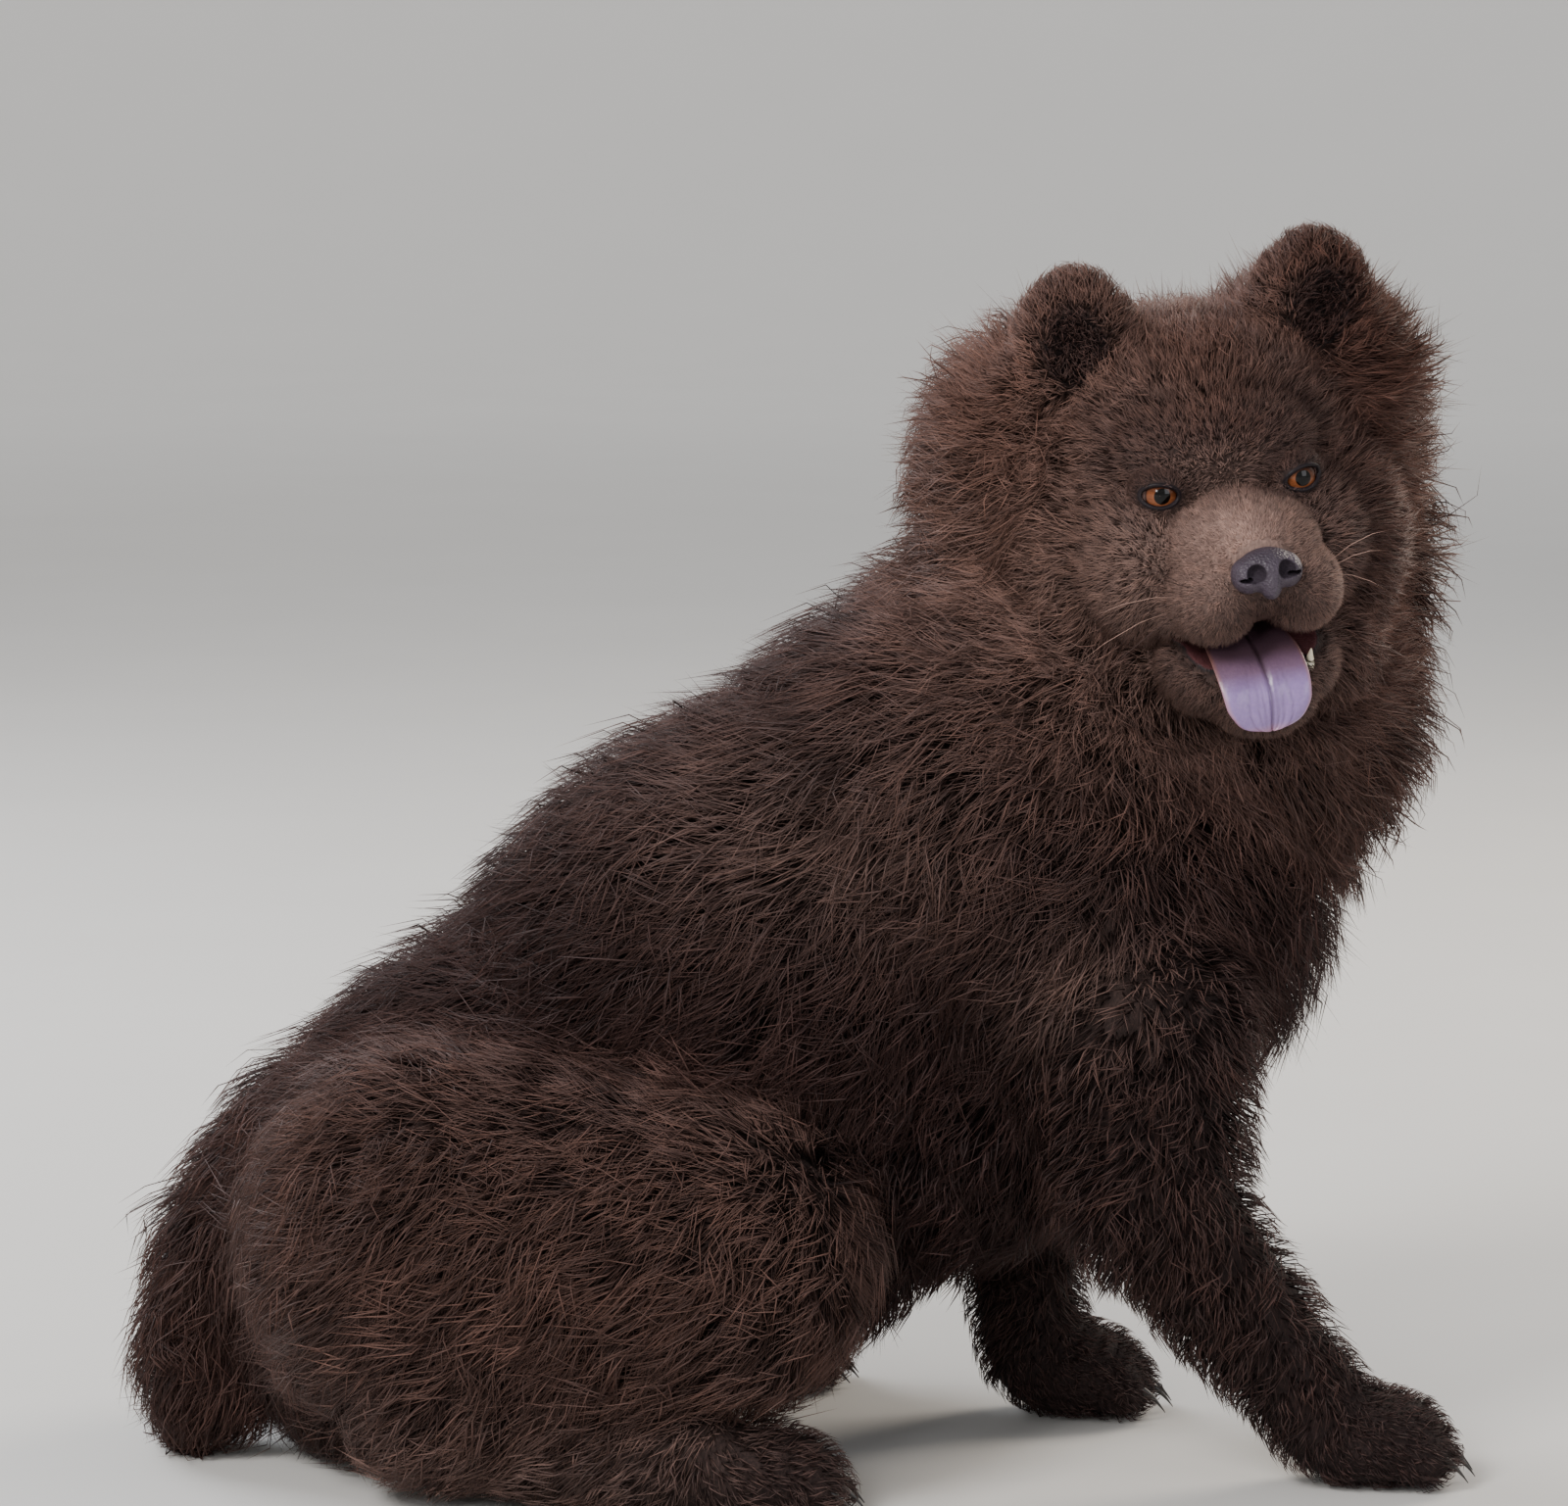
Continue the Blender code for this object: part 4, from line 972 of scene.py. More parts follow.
def grow_whiskers(roots, coat_material):
    """Long single hairs on both sides of the muzzle, in rows."""
    rng = np.random.default_rng(3)
    lines, flat, facing = [], [], []
    for side in (1, -1):
        for row, column in np.ndindex(3, 3):
            goal = HEAD @ Vector((0.030 - 0.008 * column, side * 0.034, -0.030 - 0.006 * row))
            nearest = np.argmin(np.linalg.norm(roots.points - np.array(goal), axis=1))
            root = roots.points[nearest]
            normal = roots.normals[nearest]
            back = np.array(HEAD)[:3, 0] * -0.45 + np.array([0, 0, 0.15 - 0.22 * row])
            toward = normal + back + rng.normal(0, 0.12, 3)
            toward = toward / np.linalg.norm(toward)
            length = rng.uniform(0.022, 0.046)
            droop = np.array([0, 0, -0.30]) * length
            lines.append([root + toward * length * part + droop * part * part
                          for part in WHISKER_STATIONS])
            flat.append(roots.flat[nearest])
            facing.append([normal] * 4)
    count = len(lines)
    pale = np.where(np.arange(count) % 4 == 0, 0.9, 0.12)
    tones = {"light": pale, "warm": np.zeros(count), "shade": np.ones(count)}
    widths = np.full(count, WHISKER_WIDTH)
    obj = tuft_mesh("whiskers", np.array(lines), np.array(facing), widths, np.array(flat), tones)
    obj.data.materials.append(coat_material)
    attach(obj, "root")


WHISKER_WIDTH = 0.00026
WHISKER_STATIONS = (0, 0.35, 0.7, 1.0)


def regions(names, points):
    """Which hairs go into which piece."""
    groups = {
        "coat_ruff": ("ruff",),
        "coat_torso": ("back", "chest", "belly"),
        "coat_thigh": ("thigh", "hock"),
        "coat_tail": ("tail",),
        "coat_leg": ("foreleg", "shin", "paw", "hindpaw"),
        "coat_crown": ("fringe", "crown", "ear"),
        "coat_face": ("cheek", "brow", "lid", "muzzle", "jaw"),
    }
    found = {}
    for title, styles in groups.items():
        chosen = np.isin(names, styles)
        if title in ("coat_thigh", "coat_leg"):
            left = local_points(BODY, points)[:, 1] > 0
            found[title + "_right"] = chosen & ~left
            found[title + "_left"] = chosen & left
        else:
            found[title] = chosen
    return {title: chosen for title, chosen in found.items() if chosen.any()}


class Nodes:
    """A short way to build one material's nodes."""

    def __init__(self, name):
        self.material = bpy.data.materials.new(name)
        self.material.use_nodes = True
        self.tree = self.material.node_tree
        self.shader = self.tree.nodes["Principled BSDF"]

    def add(self, kind, inputs=(), **settings):
        node = self.tree.nodes.new(kind)
        for key, value in settings.items():
            setattr(node, key, value)
        for key, value in dict(inputs).items():
            if isinstance(value, bpy.types.NodeSocket):
                self.tree.links.new(value, node.inputs[key])
            else:
                node.inputs[key].default_value = value
        return node

    def value(self, name):
        return self.add("ShaderNodeAttribute", attribute_name=name).outputs["Fac"]

    def place(self):
        return self.add("ShaderNodeTexCoord").outputs["Object"]

    def noise(self, scale, detail=3.0, where=None, stretch=None):
        vector = where or self.place()
        if stretch:
            vector = self.add("ShaderNodeMapping", {"Vector": vector, "Scale": stretch}).outputs["Vector"]
        wanted = {"Vector": vector, "Scale": scale, "Detail": detail}
        return self.add("ShaderNodeTexNoise", wanted).outputs["Fac"]

    def math(self, operation, first, second=0.0):
        return self.add("ShaderNodeMath", {0: first, 1: second}, operation=operation).outputs[0]

    def mix(self, share, first, second, blend="MIX"):
        node = self.add("ShaderNodeMix", data_type="RGBA", blend_type=blend)
        for index, value in ((0, share), (6, first), (7, second)):
            if isinstance(value, bpy.types.NodeSocket):
                self.tree.links.new(value, node.inputs[index])
            else:
                node.inputs[index].default_value = value
        return node.outputs[2]

    def ramp(self, share, stops):
        node = self.add("ShaderNodeValToRGB", {"Fac": share})
        elements = node.color_ramp.elements
        while len(elements) < len(stops):
            elements.new(0.5)
        for element, (position, colour) in zip(elements, stops):
            element.position = position
            element.color = colour
        return node.outputs["Color"]

    def bump(self, height, strength, distance):
        node = self.add("ShaderNodeBump", {"Height": height, "Strength": strength, "Distance": distance})
        self.link(node.outputs["Normal"], "Normal")

    def link(self, socket, name):
        self.tree.links.new(socket, self.shader.inputs[name])

    def set(self, **values):
        for key, value in values.items():
            socket = key.replace("_", " ").title().replace("Ior", "IOR")
            self.shader.inputs[socket].default_value = value


def rgb(red, green, blue):
    return (red, green, blue, 1.0)


ROOT_DARK = rgb(0.0060, 0.0032, 0.0034)
ROOT_LIGHT = rgb(0.260, 0.172, 0.146)
TIP_DARK = rgb(0.0300, 0.0155, 0.0165)
TIP_LIGHT = rgb(0.490, 0.330, 0.285)
TIP_WARM = rgb(0.160, 0.060, 0.033)


def coat_colour(made, along, light, warm, shade):
    """Dark at the roots, and lighter, browner and sun-bleached at the tips."""
    root = made.mix(made.math("POWER", light, 2.6), ROOT_DARK, ROOT_LIGHT)
    tip = made.mix(light, TIP_DARK, TIP_LIGHT)
    bleached = made.mix(made.math("MULTIPLY", warm, 0.85), tip, TIP_WARM)
    eased = made.math("POWER", along, 1.4)
    colour = made.mix(eased, root, bleached)
    spread = made.ramp(shade, [(0.0, rgb(0.55, 0.55, 0.56)), (0.5, rgb(1, 1, 1)),
                               (1.0, rgb(1.7, 1.62, 1.55))])
    return made.mix(1.0, colour, spread, "MULTIPLY")


def coat_material():
    made = Nodes("coat")
    colour = coat_colour(made, made.value("along"), made.value("light"), made.value("warm"),
                         made.value("shade"))
    made.link(colour, "Base Color")
    made.set(roughness=0.58, specular_ior_level=0.28)
    made.shader.inputs["Specular Tint"].default_value = rgb(0.85, 0.78, 0.80)
    return made.material


def skin_material():
    """Short dark undercoat on the skin, with bare leather round the mouth and the eyes."""
    made = Nodes("skin")
    fuzz = made.noise(900.0, 4.0, stretch=(1.0, 1.0, 0.35))
    colour = coat_colour(made, made.math("MULTIPLY", fuzz, 0.45), made.value("light"),
                         made.value("warm"), fuzz)
    leather = made.mix(made.noise(260.0), rgb(0.006, 0.0045, 0.005), rgb(0.016, 0.011, 0.013))
    flesh = made.mix(made.noise(90.0), rgb(0.120, 0.030, 0.034), rgb(0.300, 0.100, 0.105))
    bare = made.mix(made.value("inner"), leather, flesh)
    made.link(made.mix(made.value("bare"), colour, bare), "Base Color")
    rough = made.add("ShaderNodeMapRange", {"Value": made.value("bare"), "To Min": 0.85, "To Max": 0.52})
    made.link(rough.outputs["Result"], "Roughness")
    made.set(specular_ior_level=0.22)
    made.bump(fuzz, 0.5, 0.0012)
    return made.material


def dress_skin(skin, flesh):
    """Gives the skin its coat tones with their marks and painted light and shade, its bare places, and its
    material.
    """
    points, _, _ = mesh_arrays(skin)
    light, warm = markings_and_painted_light(points, *style_values(flesh, points, TONE_BLEND, "light", "warm"))
    mouth = mouth_depth(points)
    nearby = np.abs(local_points(HEAD, points) - np.array([0.015, 0, -0.07])).max(axis=1) < 0.06
    lips = (1 - blended(0.0010, 0.0036, mouth)) * nearby
    inner = (1 - blended(-0.0010, 0.0006, mouth)) * nearby
    eyes = eye_bareness(points)
    cup = in_ear_cup(points)
    put_values(skin.data, "light", light * ~cup)
    put_values(skin.data, "warm", warm * ~cup)
    put_values(skin.data, "bare", np.clip(np.maximum(lips, eyes), 0, 1))
    put_values(skin.data, "inner", inner)
    skin.data.materials.clear()
    skin.data.materials.append(skin_material())
    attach(skin, "root")


def build_eye(side, which):
    """An amber eye with a dark pupil and a dark outer rim, under a wet surface, with painted shade of the
    upper lid darkening the iris towards its top.
    """
    name = "eyeball_" + which
    bm = bmesh.new()
    add_ball(bm, Matrix.Identity(4), 64, 48)
    obj = object_from(bm, name)
    points = points_only(obj)
    angle = np.arccos(np.clip(points[:, 0] / np.linalg.norm(points, axis=1), -1, 1))
    put_values(obj.data, "ring", angle)
    put_values(obj.data, "high", points[:, 2] + 0.35 * points[:, 1])
    turn = np.arctan2(points[:, 2], points[:, 1])
    put_values(obj.data, "turn", np.abs(turn))
    bulge = 1 + CORNEA_BULGE * np.exp(-((angle / 0.55) ** 2))
    moved = points * bulge[:, None] * EYEBALL_RADIUS
    obj.data.vertices.foreach_set("co", moved.astype(np.float32).ravel())
    obj.data.transform(eye_place(side) @ Matrix.Rotation(math.radians(GAZE_IN[side]), 4, "Z"))
    obj.data.shade_smooth()
    made = Nodes(name)
    ring = made.value("ring")
    spokes = made.noise(1.0, 4.0, where=made.add(
        "ShaderNodeCombineXYZ", {"X": made.math("MULTIPLY", made.value("turn"), 22.0),
                                 "Y": made.math("MULTIPLY", ring, 5.0)}).outputs["Vector"])
    amber = made.mix(spokes, rgb(0.060, 0.019, 0.008), rgb(0.290, 0.095, 0.036))
    # Painted shade of the upper lid: the iris darkens towards its top.
    painted_lid_shade = made.ramp(made.value("high"), [(0.0, rgb(1, 1, 1)), (0.12, rgb(0.60, 0.56, 0.52)),
                                         (0.48, rgb(0.14, 0.12, 0.11))])
    amber = made.mix(1.0, amber, painted_lid_shade, "MULTIPLY")
    edge = made.ramp(ring, [(0.0, rgb(0.002, 0.002, 0.002)), (PUPIL - 0.01, rgb(0.002, 0.002, 0.002)),
                            (PUPIL + 0.02, rgb(1, 1, 1)), (IRIS - 0.09, rgb(0.8, 0.75, 0.7)),
                            (IRIS, rgb(0.03, 0.02, 0.02))])
    iris = made.mix(1.0, amber, edge, "MULTIPLY")
    white = made.mix(made.noise(300.0), rgb(0.06, 0.035, 0.03), rgb(0.14, 0.09, 0.08))
    outside = made.ramp(ring, [(IRIS, rgb(0, 0, 0)), (IRIS + 0.08, rgb(1, 1, 1))])
    made.link(made.mix(outside, iris, white), "Base Color")
    made.set(roughness=0.6, coat_weight=1.0, coat_roughness=0.015, specular_ior_level=0.0, coat_ior=1.35)
    obj.data.materials.append(made.material)
    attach(obj, "root")
    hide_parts("eye_" + which)
    return obj


CORNEA_BULGE = 0.05
GAZE_IN = {1: -6.0, -1: 6.0}
PUPIL = 0.35
IRIS = 0.74


def points_only(obj):
    """The places of a mesh's points."""
    points = np.empty(len(obj.data.vertices) * 3, np.float32)
    obj.data.vertices.foreach_get("co", points)
    return points.reshape(-1, 3).astype(float)


def tube(name, path, radii, sides, closed):
    """A closed mesh round a path of points with a radius at each."""
    bm = bmesh.new()
    count = len(path)
    loops = []
    for index, (point, radius) in enumerate(zip(path, radii)):
        before = path[index - 1] if closed or index else point
        after = path[(index + 1) % count] if closed or index < count - 1 else point
        run = (after - before).normalized()
        steep = abs(run.dot(HEAD_UP)) >= 0.95
        across = (run.orthogonal() if steep else run.cross(HEAD_UP)).normalized()
        up = across.cross(run)
        angles = (2 * math.pi * side / sides for side in range(sides))
        loops.append([bm.verts.new(point + radius * (across * math.cos(a) + up * math.sin(a)))
                      for a in angles])
    pairs = list(zip(loops, loops[1:])) + ([(loops[-1], loops[0])] if closed else [])
    for near, far in pairs:
        for side in range(sides):
            after = (side + 1) % sides
            bm.faces.new((near[side], near[after], far[after], far[side]))
    if not closed:
        bm.faces.new(loops[0])
        bm.faces.new(loops[-1])
    return object_from(bm, name)


HEAD_UP = Vector(np.array(HEAD)[:3, 2])


def build_lid_rim(side, name):
    """The dark, wet margin of the lids, an almond that lies on the eyeball."""
    place = eye_place(side) @ Matrix.Rotation(math.radians(side * EYE_SLANT), 4, "X")
    radius = EYEBALL_RADIUS + 0.0007
    path = []
    count = 72
    for index in range(count):
        angle = 2 * math.pi * index / count
        y = EYE_OPENING[0] / 2 * math.cos(angle) * 1.02
        z = EYE_OPENING[1] / 2 * math.sin(angle) * (0.86 + 0.14 * abs(math.sin(angle)))
        x = math.sqrt(max(radius**2 - y * y - z * z, 1e-8))
        path.append(place @ Vector((x, y, z)))
    obj = rim_tube(name, path, place @ Vector((0, 0, 0)), 0.0011)
    made = Nodes(name)
    made.link(made.mix(made.noise(400.0), rgb(0.004, 0.0028, 0.0034), rgb(0.018, 0.012, 0.015)), "Base Color")
    made.set(roughness=0.45, specular_ior_level=0.16)
    made.bump(made.noise(900.0), 0.3, 0.0004)
    obj.data.materials.append(made.material)
    obj.data.shade_smooth()
    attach(obj, "root")
    return obj


def rim_tube(name, path, middle, radius):
    """A closed ring of flesh along a path round a middle."""
    bm = bmesh.new()
    loops = []
    count, sides = len(path), 10
    for index, point in enumerate(path):
        run = (path[(index + 1) % count] - path[index - 1]).normalized()
        out = (point - middle).normalized()
        across = run.cross(out).normalized()
        angles = (2 * math.pi * side / sides for side in range(sides))
        loops.append([bm.verts.new(point + radius * (across * math.cos(a) + out * math.sin(a)))
                      for a in angles])
    for near, far in zip(loops, loops[1:] + loops[:1]):
        for side in range(sides):
            after = (side + 1) % sides
            bm.faces.new((near[side], near[after], far[after], far[side]))
    return object_from(bm, name)


NOSE_VOXEL = 0.0005
NOSE_FORMS = [
    lump("", 0, (0.0400, 0, -0.0273), (0.0100, 0.0135, 0.0096)),
    lump("", 0, (0.0400, 0.0085, -0.0285), (0.0090, 0.0070, 0.0078)),
    lump("", 0, (0.0400, -0.0085, -0.0285), (0.0090, 0.0070, 0.0078)),
    lump("", 0, (0.0440, 0, -0.0315), (0.0070, 0.0050, 0.0080)),
]
NOSTRILS = [
    lump("", 0, (0.0515, 0.0070, -0.0262), (0.0072, 0.0044, 0.0049), 0),
    lump("", 0, (0.0480, 0.0106, -0.0290), (0.0060, 0.0036, 0.0010), 0),
    lump("", 0, (0.0530, 0, -0.0320), (0.0035, 0.0006, 0.0080), 0),
]


def build_nose():
    """The nose leather, with round nostrils that run out in side slits and have painted shade inside, and a
    groove down the middle.
    """
    bm = bmesh.new()
    for form in NOSE_FORMS:
        add_ball(bm, lump_matrix(HEAD, form), 40, 26)
    nose = object_from(bm, "nose_leather")
    remesh = nose.modifiers.new("fuse", "REMESH")
    remesh.mode = "VOXEL"
    remesh.voxel_size = NOSE_VOXEL
    smooth = nose.modifiers.new("soften", "SMOOTH")
    smooth.iterations = 6
    apply_modifiers(nose)
    for hole in NOSTRILS:
        combine(nose, ball_object(lump_matrix(HEAD, hole), 28, 18), "DIFFERENCE")
        if hole.centre[1]:
            combine(nose, ball_object(lump_matrix(HEAD, mirrored(hole)), 28, 18), "DIFFERENCE")
    again = nose.modifiers.new("fuse", "REMESH")
    again.mode = "VOXEL"
    again.voxel_size = NOSE_VOXEL
    soft = nose.modifiers.new("soften", "SMOOTH")
    soft.iterations = 4
    apply_modifiers(nose)
    nose.data.shade_smooth()
    nose.data.materials.clear()
    points = points_only(nose)
    # Painted shade: the insides of the nostrils are painted near black, with full roughness and no gloss, for
    # the shade in their hollows.
    hollow = np.zeros(len(points))
    for hole in NOSTRILS[:2]:
        for each in (hole, mirrored(hole)):
            own = local_points(HEAD @ Matrix.Translation(each.centre), points) / np.array(each.radii)
            hollow = np.maximum(hollow, 1 - blended(0.88, 1.12, np.linalg.norm(own, axis=1)))
    put_values(nose.data, "hollow", hollow)
    made = Nodes("nose_leather")
    cells = made.add("ShaderNodeTexVoronoi", {"Vector": made.place(), "Scale": 950.0}).outputs["Distance"]
    tone = made.mix(made.noise(120.0), rgb(0.026, 0.019, 0.027), rgb(0.066, 0.049, 0.071))
    # The nostrils' painted shade.
    made.link(made.mix(made.value("hollow"), tone, rgb(0.007, 0.005, 0.007)), "Base Color")
    for name, low, high in (("Roughness", 0.44, 1.0), ("Specular IOR Level", 0.38, 0.0)):
        ends = {"Value": made.value("hollow"), "To Min": low, "To Max": high}
        share = made.add("ShaderNodeMapRange", ends)
        made.link(share.outputs["Result"], name)
    made.bump(cells, 0.7, 0.0006)
    nose.data.materials.append(made.material)
    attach(nose, "root")
    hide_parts("nose")
    return nose


def smooth_path(points, steps):
    """Points on a Catmull-Rom curve through the given ones."""
    padded = [points[0], *points, points[-1]]
    found = []
    for index in range(steps):
        at = index / (steps - 1) * (len(points) - 1)
        first = min(int(at), len(points) - 2)
        part = at - first
        a, b, c, d = (np.array(padded[first + step]) for step in range(4))
        point = 0.5 * (2 * b + (c - a) * part + (2 * a - 5 * b + 4 * c - d) * part**2
                       + (3 * b - a - 3 * c + d) * part**3)
        found.append(tuple(float(value) for value in point))
    return found


def build_tongue():
    """A flat, blue-grey tongue over the lower lip, with a groove and a few creases darkened by painted shade,
    and a pink edge.
    """
    steps, sides = 72, 120
    path = smooth_path(TONGUE_PATH, steps)
    bm = bmesh.new()
    loops = []
    edge, length, dark = [], [], []
    for index, (forward, up) in enumerate(path):
        along = index / (steps - 1)
        before, after = path[max(index - 1, 0)], path[min(index + 1, steps - 1)]
        tangent = Vector((after[0] - before[0], 0, after[1] - before[1])).normalized()
        face = Vector((-tangent.z, 0, tangent.x))
        width = TONGUE_HALF_WIDTH * (0.80 + 0.20 * math.sin(math.pi * min(along * 1.2, 1.0) / 1.2))
        if along > 0.72:
            width *= math.sqrt(max(0.004, 1 - ((along - 0.72) / 0.281) ** 2))
        loop = []
        for side in range(sides):
            angle = 2 * math.pi * side / sides
            across, height = math.cos(angle), math.sin(angle)
            top = max(height, 0)
            middle = across - 0.05 * math.sin(3.0 * along)
            groove = math.exp(-((middle / 0.045) ** 2)) * min(top * 3, 1.0)
            spread = (-0.62, -0.36, -0.20, 0.22, 0.40, 0.66)
            creases = sum(math.exp(-(((across - at * along**0.8) / 0.028) ** 2)) for at in spread)
            creases *= min(top * 3, 1.0) * max(0.0, min(1.0, (along - 0.40) * 2.5))
            curl = 0.0026 * abs(across) ** 2.2 * (1 - 0.4 * along)
            sag = 0.0005 * math.sin(across * 7 + along * 11) * top
            depth = 0.0015 * groove + 0.0005 * creases
            offset = face * (TONGUE_HALF_THICKNESS * height - depth + curl + sag)
            # Painted shade in the groove and the creases.
            dark.append(min(1.0, 0.95 * groove + 0.5 * creases))
            loop.append(bm.verts.new(HEAD @ (Vector((forward, TONGUE_SIDE + width * across, up)) + offset)))
            edge.append(abs(across))
            length.append(along)
        loops.append(loop)
    for near, far in zip(loops, loops[1:]):
        for side in range(sides):
            after = (side + 1) % sides
            bm.faces.new((near[side], near[after], far[after], far[side]))
    for loop in (loops[0], loops[-1]):
        bm.faces.new(loop)
    tongue = object_from(bm, "tongue_blue")
    put_values(tongue.data, "edge", np.array(edge))
    put_values(tongue.data, "along", np.array(length))
    put_values(tongue.data, "crease_shade", np.array(dark))
    tongue.data.shade_smooth()
    made = Nodes("tongue_blue")
    fine = made.noise(700.0, 3.0)
    broad = made.noise(70.0, 3.0)
    blue = made.mix(broad, rgb(0.150, 0.092, 0.255), rgb(0.235, 0.148, 0.365))
    blue = made.mix(made.math("MULTIPLY", fine, 0.5), blue, rgb(0.36, 0.25, 0.47))
    # Painted shade: the groove and the creases are painted darker.
    blue = made.mix(made.math("MULTIPLY", made.value("crease_shade"), 0.75), blue, rgb(0.060, 0.035, 0.075))
    rim = made.ramp(made.value("edge"), [(0.90, rgb(0, 0, 0)), (0.995, rgb(1, 1, 1))])
    tipward = made.ramp(made.value("along"), [(0.90, rgb(0, 0, 0)), (1.0, rgb(1, 1, 1))])
    pink = made.mix(made.mix(1.0, rim, tipward, "LIGHTEN"), blue, rgb(0.36, 0.19, 0.27))
    root = made.ramp(made.value("along"), [(0.38, rgb(0.34, 0.28, 0.17)), (0.52, rgb(0.60, 0.54, 0.40)),
                                           (0.64, rgb(1, 1, 1))])
    made.link(made.mix(1.0, pink, root, "MULTIPLY"), "Base Color")
    made.set(roughness=0.34, specular_ior_level=0.5, coat_weight=0.25, coat_roughness=0.2)
    made.bump(fine, 0.45, 0.0005)
    tongue.data.materials.append(made.material)
    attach(tongue, "root")
    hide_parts("tongue")
    return tongue


def build_canine():
    """The one lower canine that shows beside the tongue."""
    root, tip = Vector(CANINE_ROOT), Vector(CANINE_TIP)
    rings = 14
    path, radii = [], []
    for index in range(rings):
        part = index / (rings - 1)
        path.append(HEAD @ (root.lerp(tip, part) + Vector((-0.0012 * math.sin(math.pi * part), 0, 0))))
        radii.append(0.0031 * (1 - 0.90 * part**2.0))
    tooth = tube("canine_cream", path, radii, 20, False)
    tooth.data.shade_smooth()
    made = Nodes("canine_cream")
    made.link(made.mix(made.noise(200.0), rgb(0.62, 0.52, 0.36), rgb(0.80, 0.72, 0.56)), "Base Color")
    made.set(roughness=0.22, subsurface_weight=0.1)
    tooth.data.materials.append(made.material)
    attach(tooth, "root")
    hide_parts("canine_left")
    return tooth


CLAW_LENGTH = 0.015
CLAW_RADIUS = 0.0026


def build_claws():
    """Four short, curved, dark claws on each paw, as one piece a paw."""
    made = Nodes("claws")
    made.link(made.mix(made.noise(300.0, stretch=(0.2, 1.0, 1.0)), rgb(0.010, 0.009, 0.009),
                       rgb(0.045, 0.038, 0.034)), "Base Color")
    made.set(roughness=0.32)
    made.bump(made.noise(500.0, stretch=(0.15, 1.0, 1.0)), 0.3, 0.0004)
    hind_right = HINDLEG_RIGHT[-1]
    paws = {"foreleg_right": FORELEG_RIGHT[-1], "foreleg_left": FORELEG_LEFT[-1],
            "hindleg_right": hind_right, "hindleg_left": mirrored(hind_right)}
    for name, paw in paws.items():
        bm = bmesh.new()
        for place, toe in toes(paw, BODY):
            root = Vector(toe.centre) + Vector((toe.radii[0] * 0.45, 0, 0.001))
            rings, sides = 9, 10
            loops = []
            for index in range(rings):
                part = index / (rings - 1)
                fall = -root.z * 0.72 * part**1.8 + 0.001 * math.sin(3 * part)
                centre = root + Vector((CLAW_LENGTH * part, 0, fall))
                size = CLAW_RADIUS * (1 - 0.88 * part**1.6)
                angles = (2 * math.pi * side / sides for side in range(sides))
                ring = ((0, size * 0.8 * math.cos(a), size * math.sin(a)) for a in angles)
                loops.append([bm.verts.new(place @ (centre + Vector(spot))) for spot in ring])
            for near, far in zip(loops, loops[1:]):
                for side in range(sides):
                    after = (side + 1) % sides
                    bm.faces.new((near[side], near[after], far[after], far[side]))
            bm.faces.new(loops[0])
            bm.faces.new(loops[-1])
        claws = object_from(bm, "claws_" + name)
        claws.data.shade_smooth()
        claws.data.materials.append(made.material)
        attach(claws, "root")


def build_camera():
    """The photograph's view: level with the dog, a little from above, from far off."""
    middle = BODY @ Vector((0, 0, 0.315))
    lift = math.radians(8.0)
    distance = 3.2
    data = bpy.data.cameras.new("camera")
    data.lens = 165.6
    data.sensor_width = 36.0
    camera = bpy.data.objects.new("camera", data)
    bpy.context.scene.collection.objects.link(camera)
    camera.location = middle + distance * Vector((0, -math.cos(lift), math.sin(lift)))
    camera.rotation_euler = (math.radians(90) - lift, 0, 0)
    data.clip_end = 50
    bpy.context.scene.camera = camera


def area_light(name, energy, size, location, target, colour):
    data = bpy.data.lights.new(name, "AREA")
    data.energy = energy
    data.size = size
    data.color = colour
    light = bpy.data.objects.new(name, data)
    light.location = location
    light.rotation_euler = (Vector(target) - Vector(location)).to_track_quat("-Z", "Y").to_euler()
    bpy.context.scene.collection.objects.link(light)


BOWL_RADIUS = 7.0
BOWL_BEND = 1.5
BOWL_HEIGHT = 3.4
FAR_GLOW = 0.28
GLOW_SPAN = (1.6, 5.0)


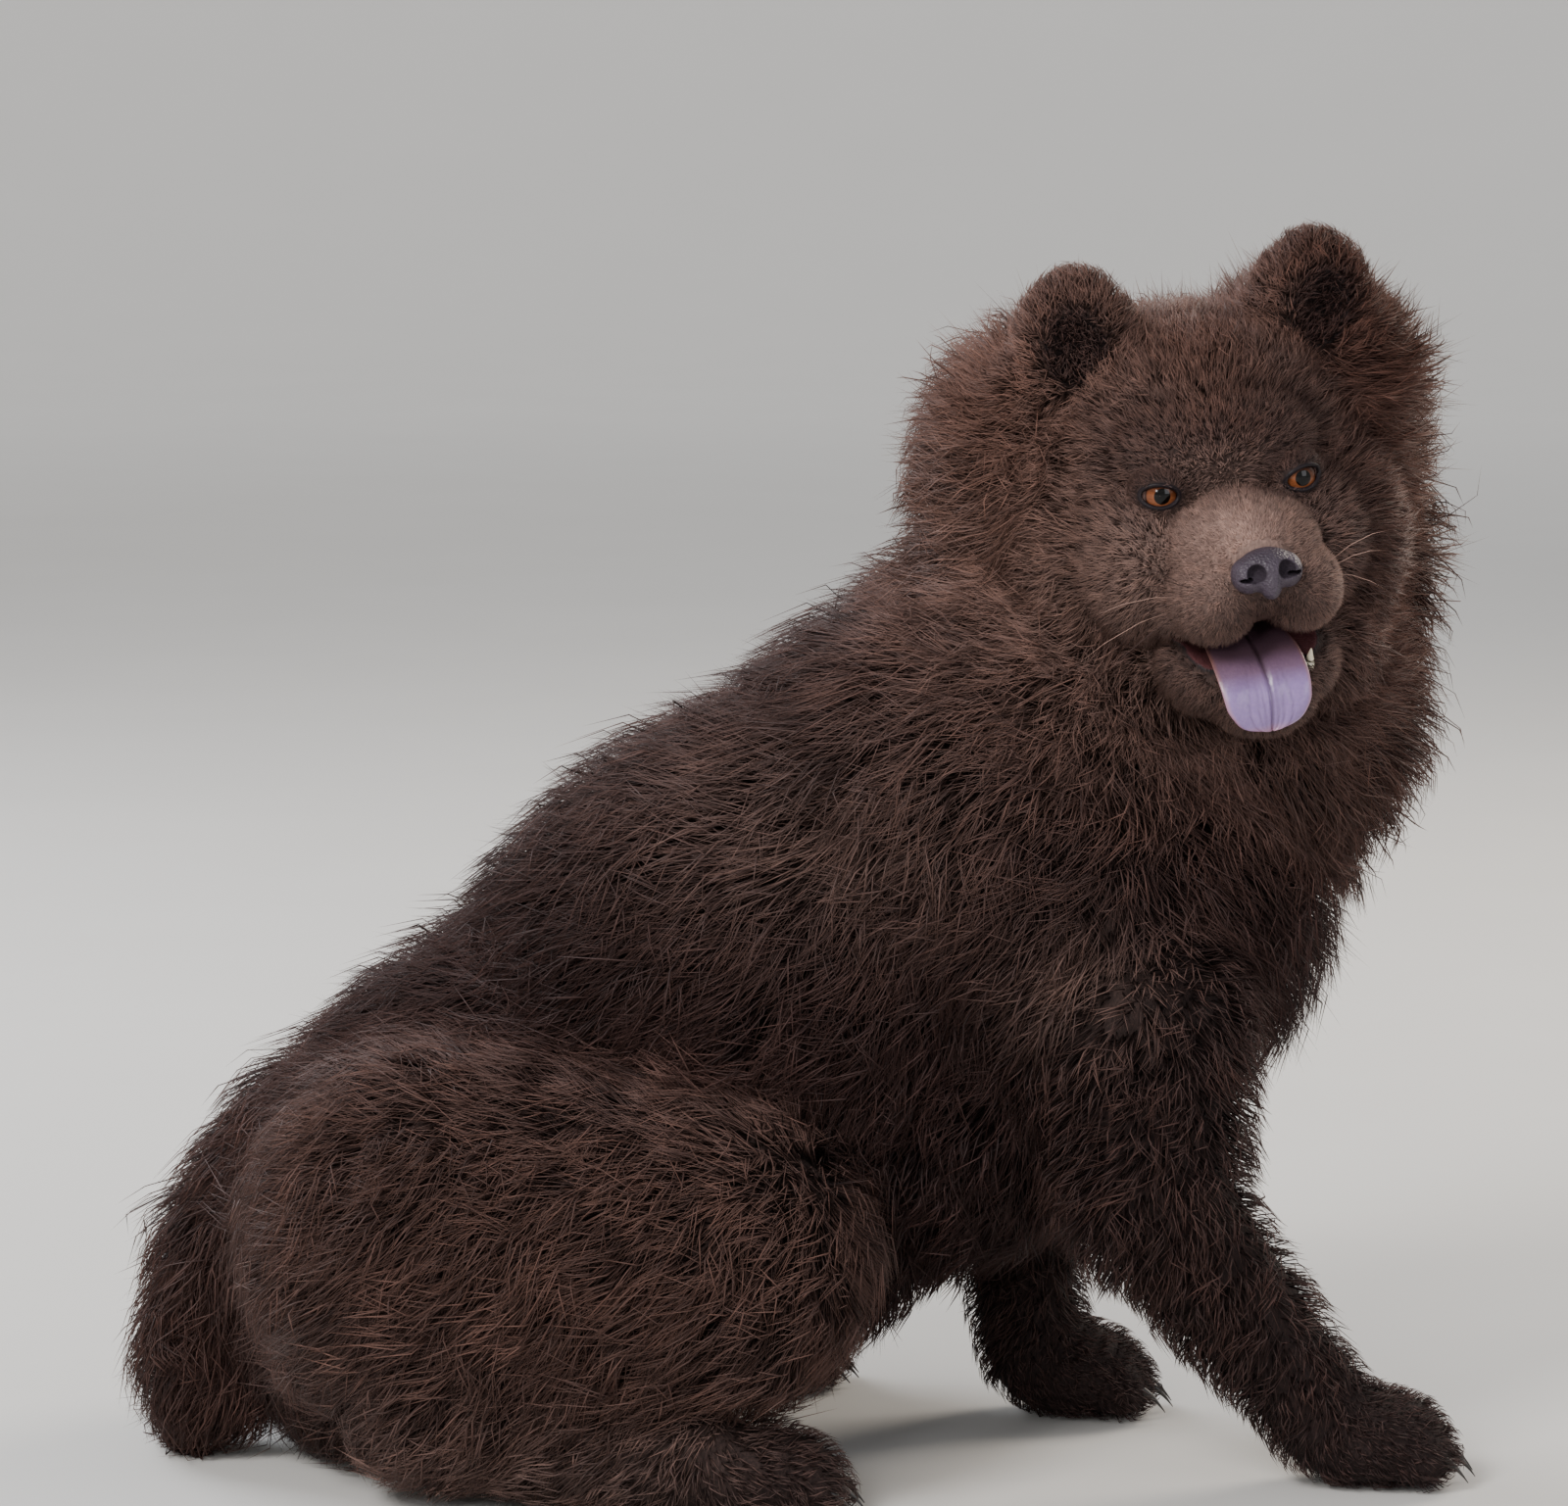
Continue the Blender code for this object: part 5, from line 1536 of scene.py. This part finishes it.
def build_studio():
    """A pale round floor that curves up all round, and soft light from above, in front and behind."""
    bm = bmesh.new()
    flat_radius = BOWL_RADIUS - BOWL_BEND
    profile = [(radius, 0) for radius in (0.5, 1.5, 3.0, flat_radius)]
    profile += [(flat_radius + BOWL_BEND * math.sin(a), BOWL_BEND * (1 - math.cos(a)))
                for a in np.linspace(0.08, math.pi / 2, 20)]
    profile += [(BOWL_RADIUS, BOWL_HEIGHT)]
    sides = 96
    rows = [[bm.verts.new((radius * math.cos(2 * math.pi * side / sides),
                           radius * math.sin(2 * math.pi * side / sides), height)) for side in range(sides)]
            for radius, height in profile]
    bm.faces.new(rows[0])
    for near, far in zip(rows, rows[1:]):
        for side in range(sides):
            after = (side + 1) % sides
            bm.faces.new((near[side], near[after], far[after], far[side]))
    floor = object_from(bm, "floor")
    floor.data.shade_smooth()
    made = Nodes("floor")
    made.link(made.mix(made.noise(6.0), rgb(0.60, 0.59, 0.57), rgb(0.64, 0.63, 0.61)), "Base Color")
    made.set(roughness=0.85, specular_ior_level=0.2, emission_color=rgb(1.0, 0.985, 0.96))
    away = made.add("ShaderNodeVectorMath", {0: made.place()}, operation="LENGTH").outputs["Value"]
    span = {"Value": away, "From Min": GLOW_SPAN[0], "From Max": GLOW_SPAN[1], "To Max": FAR_GLOW}
    glow = made.add("ShaderNodeMapRange", span)
    made.link(glow.outputs["Result"], "Emission Strength")
    # The bowl's faint glow is seen but isn't sampled as a lamp, which keeps the render quick.
    made.material.cycles.emission_sampling = "NONE"
    floor.data.materials.append(made.material)
    world = bpy.data.worlds.new("studio")
    bpy.context.scene.world = world
    world.use_nodes = True
    sky = world.node_tree.nodes["Background"]
    sky.inputs["Color"].default_value = rgb(0.94, 0.95, 1.0)
    sky.inputs["Strength"].default_value = 0.36
    area_light("key", 105, 1.0, (-1.5, -2.2, 2.3), (0.05, 0, 0.3), (1.0, 0.97, 0.94))
    area_light("fill", 18, 1.4, (2.2, -2.0, 1.0), (0.05, 0, 0.3), (0.95, 0.95, 1.0))
    area_light("catch", 15, 0.45, (-0.55, -2.6, 1.15), (0.19, -0.1, 0.44), (1.0, 1.0, 1.0))
    area_light("rim_right", 48, 1.0, (1.6, 1.5, 1.5), (0.1, 0, 0.35), (1.0, 0.90, 0.78))
    area_light("rim_left", 55, 1.2, (-1.6, 1.4, 1.6), (-0.05, 0, 0.3), (0.92, 0.95, 1.0))


def main():
    build_camera()
    build_studio()
    skin = build_skin()
    flat = unwrap(skin)
    flesh = Flesh(body_flesh() + head_flesh())
    dress_skin(skin, flesh)
    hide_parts("head", "lower_jaw", "neck", "torso", "tail", "foreleg_right", "foreleg_left",
                "hindleg_right", "hindleg_left", "ear_right", "ear_left")
    grow_coat(skin, flat, flesh, coat_material())
    for side, name in ((-1, "right"), (1, "left")):
        build_eye(side, name)
        build_lid_rim(side, "lids_" + name)
    build_nose()
    build_tongue()
    build_canine()
    build_claws()


main()
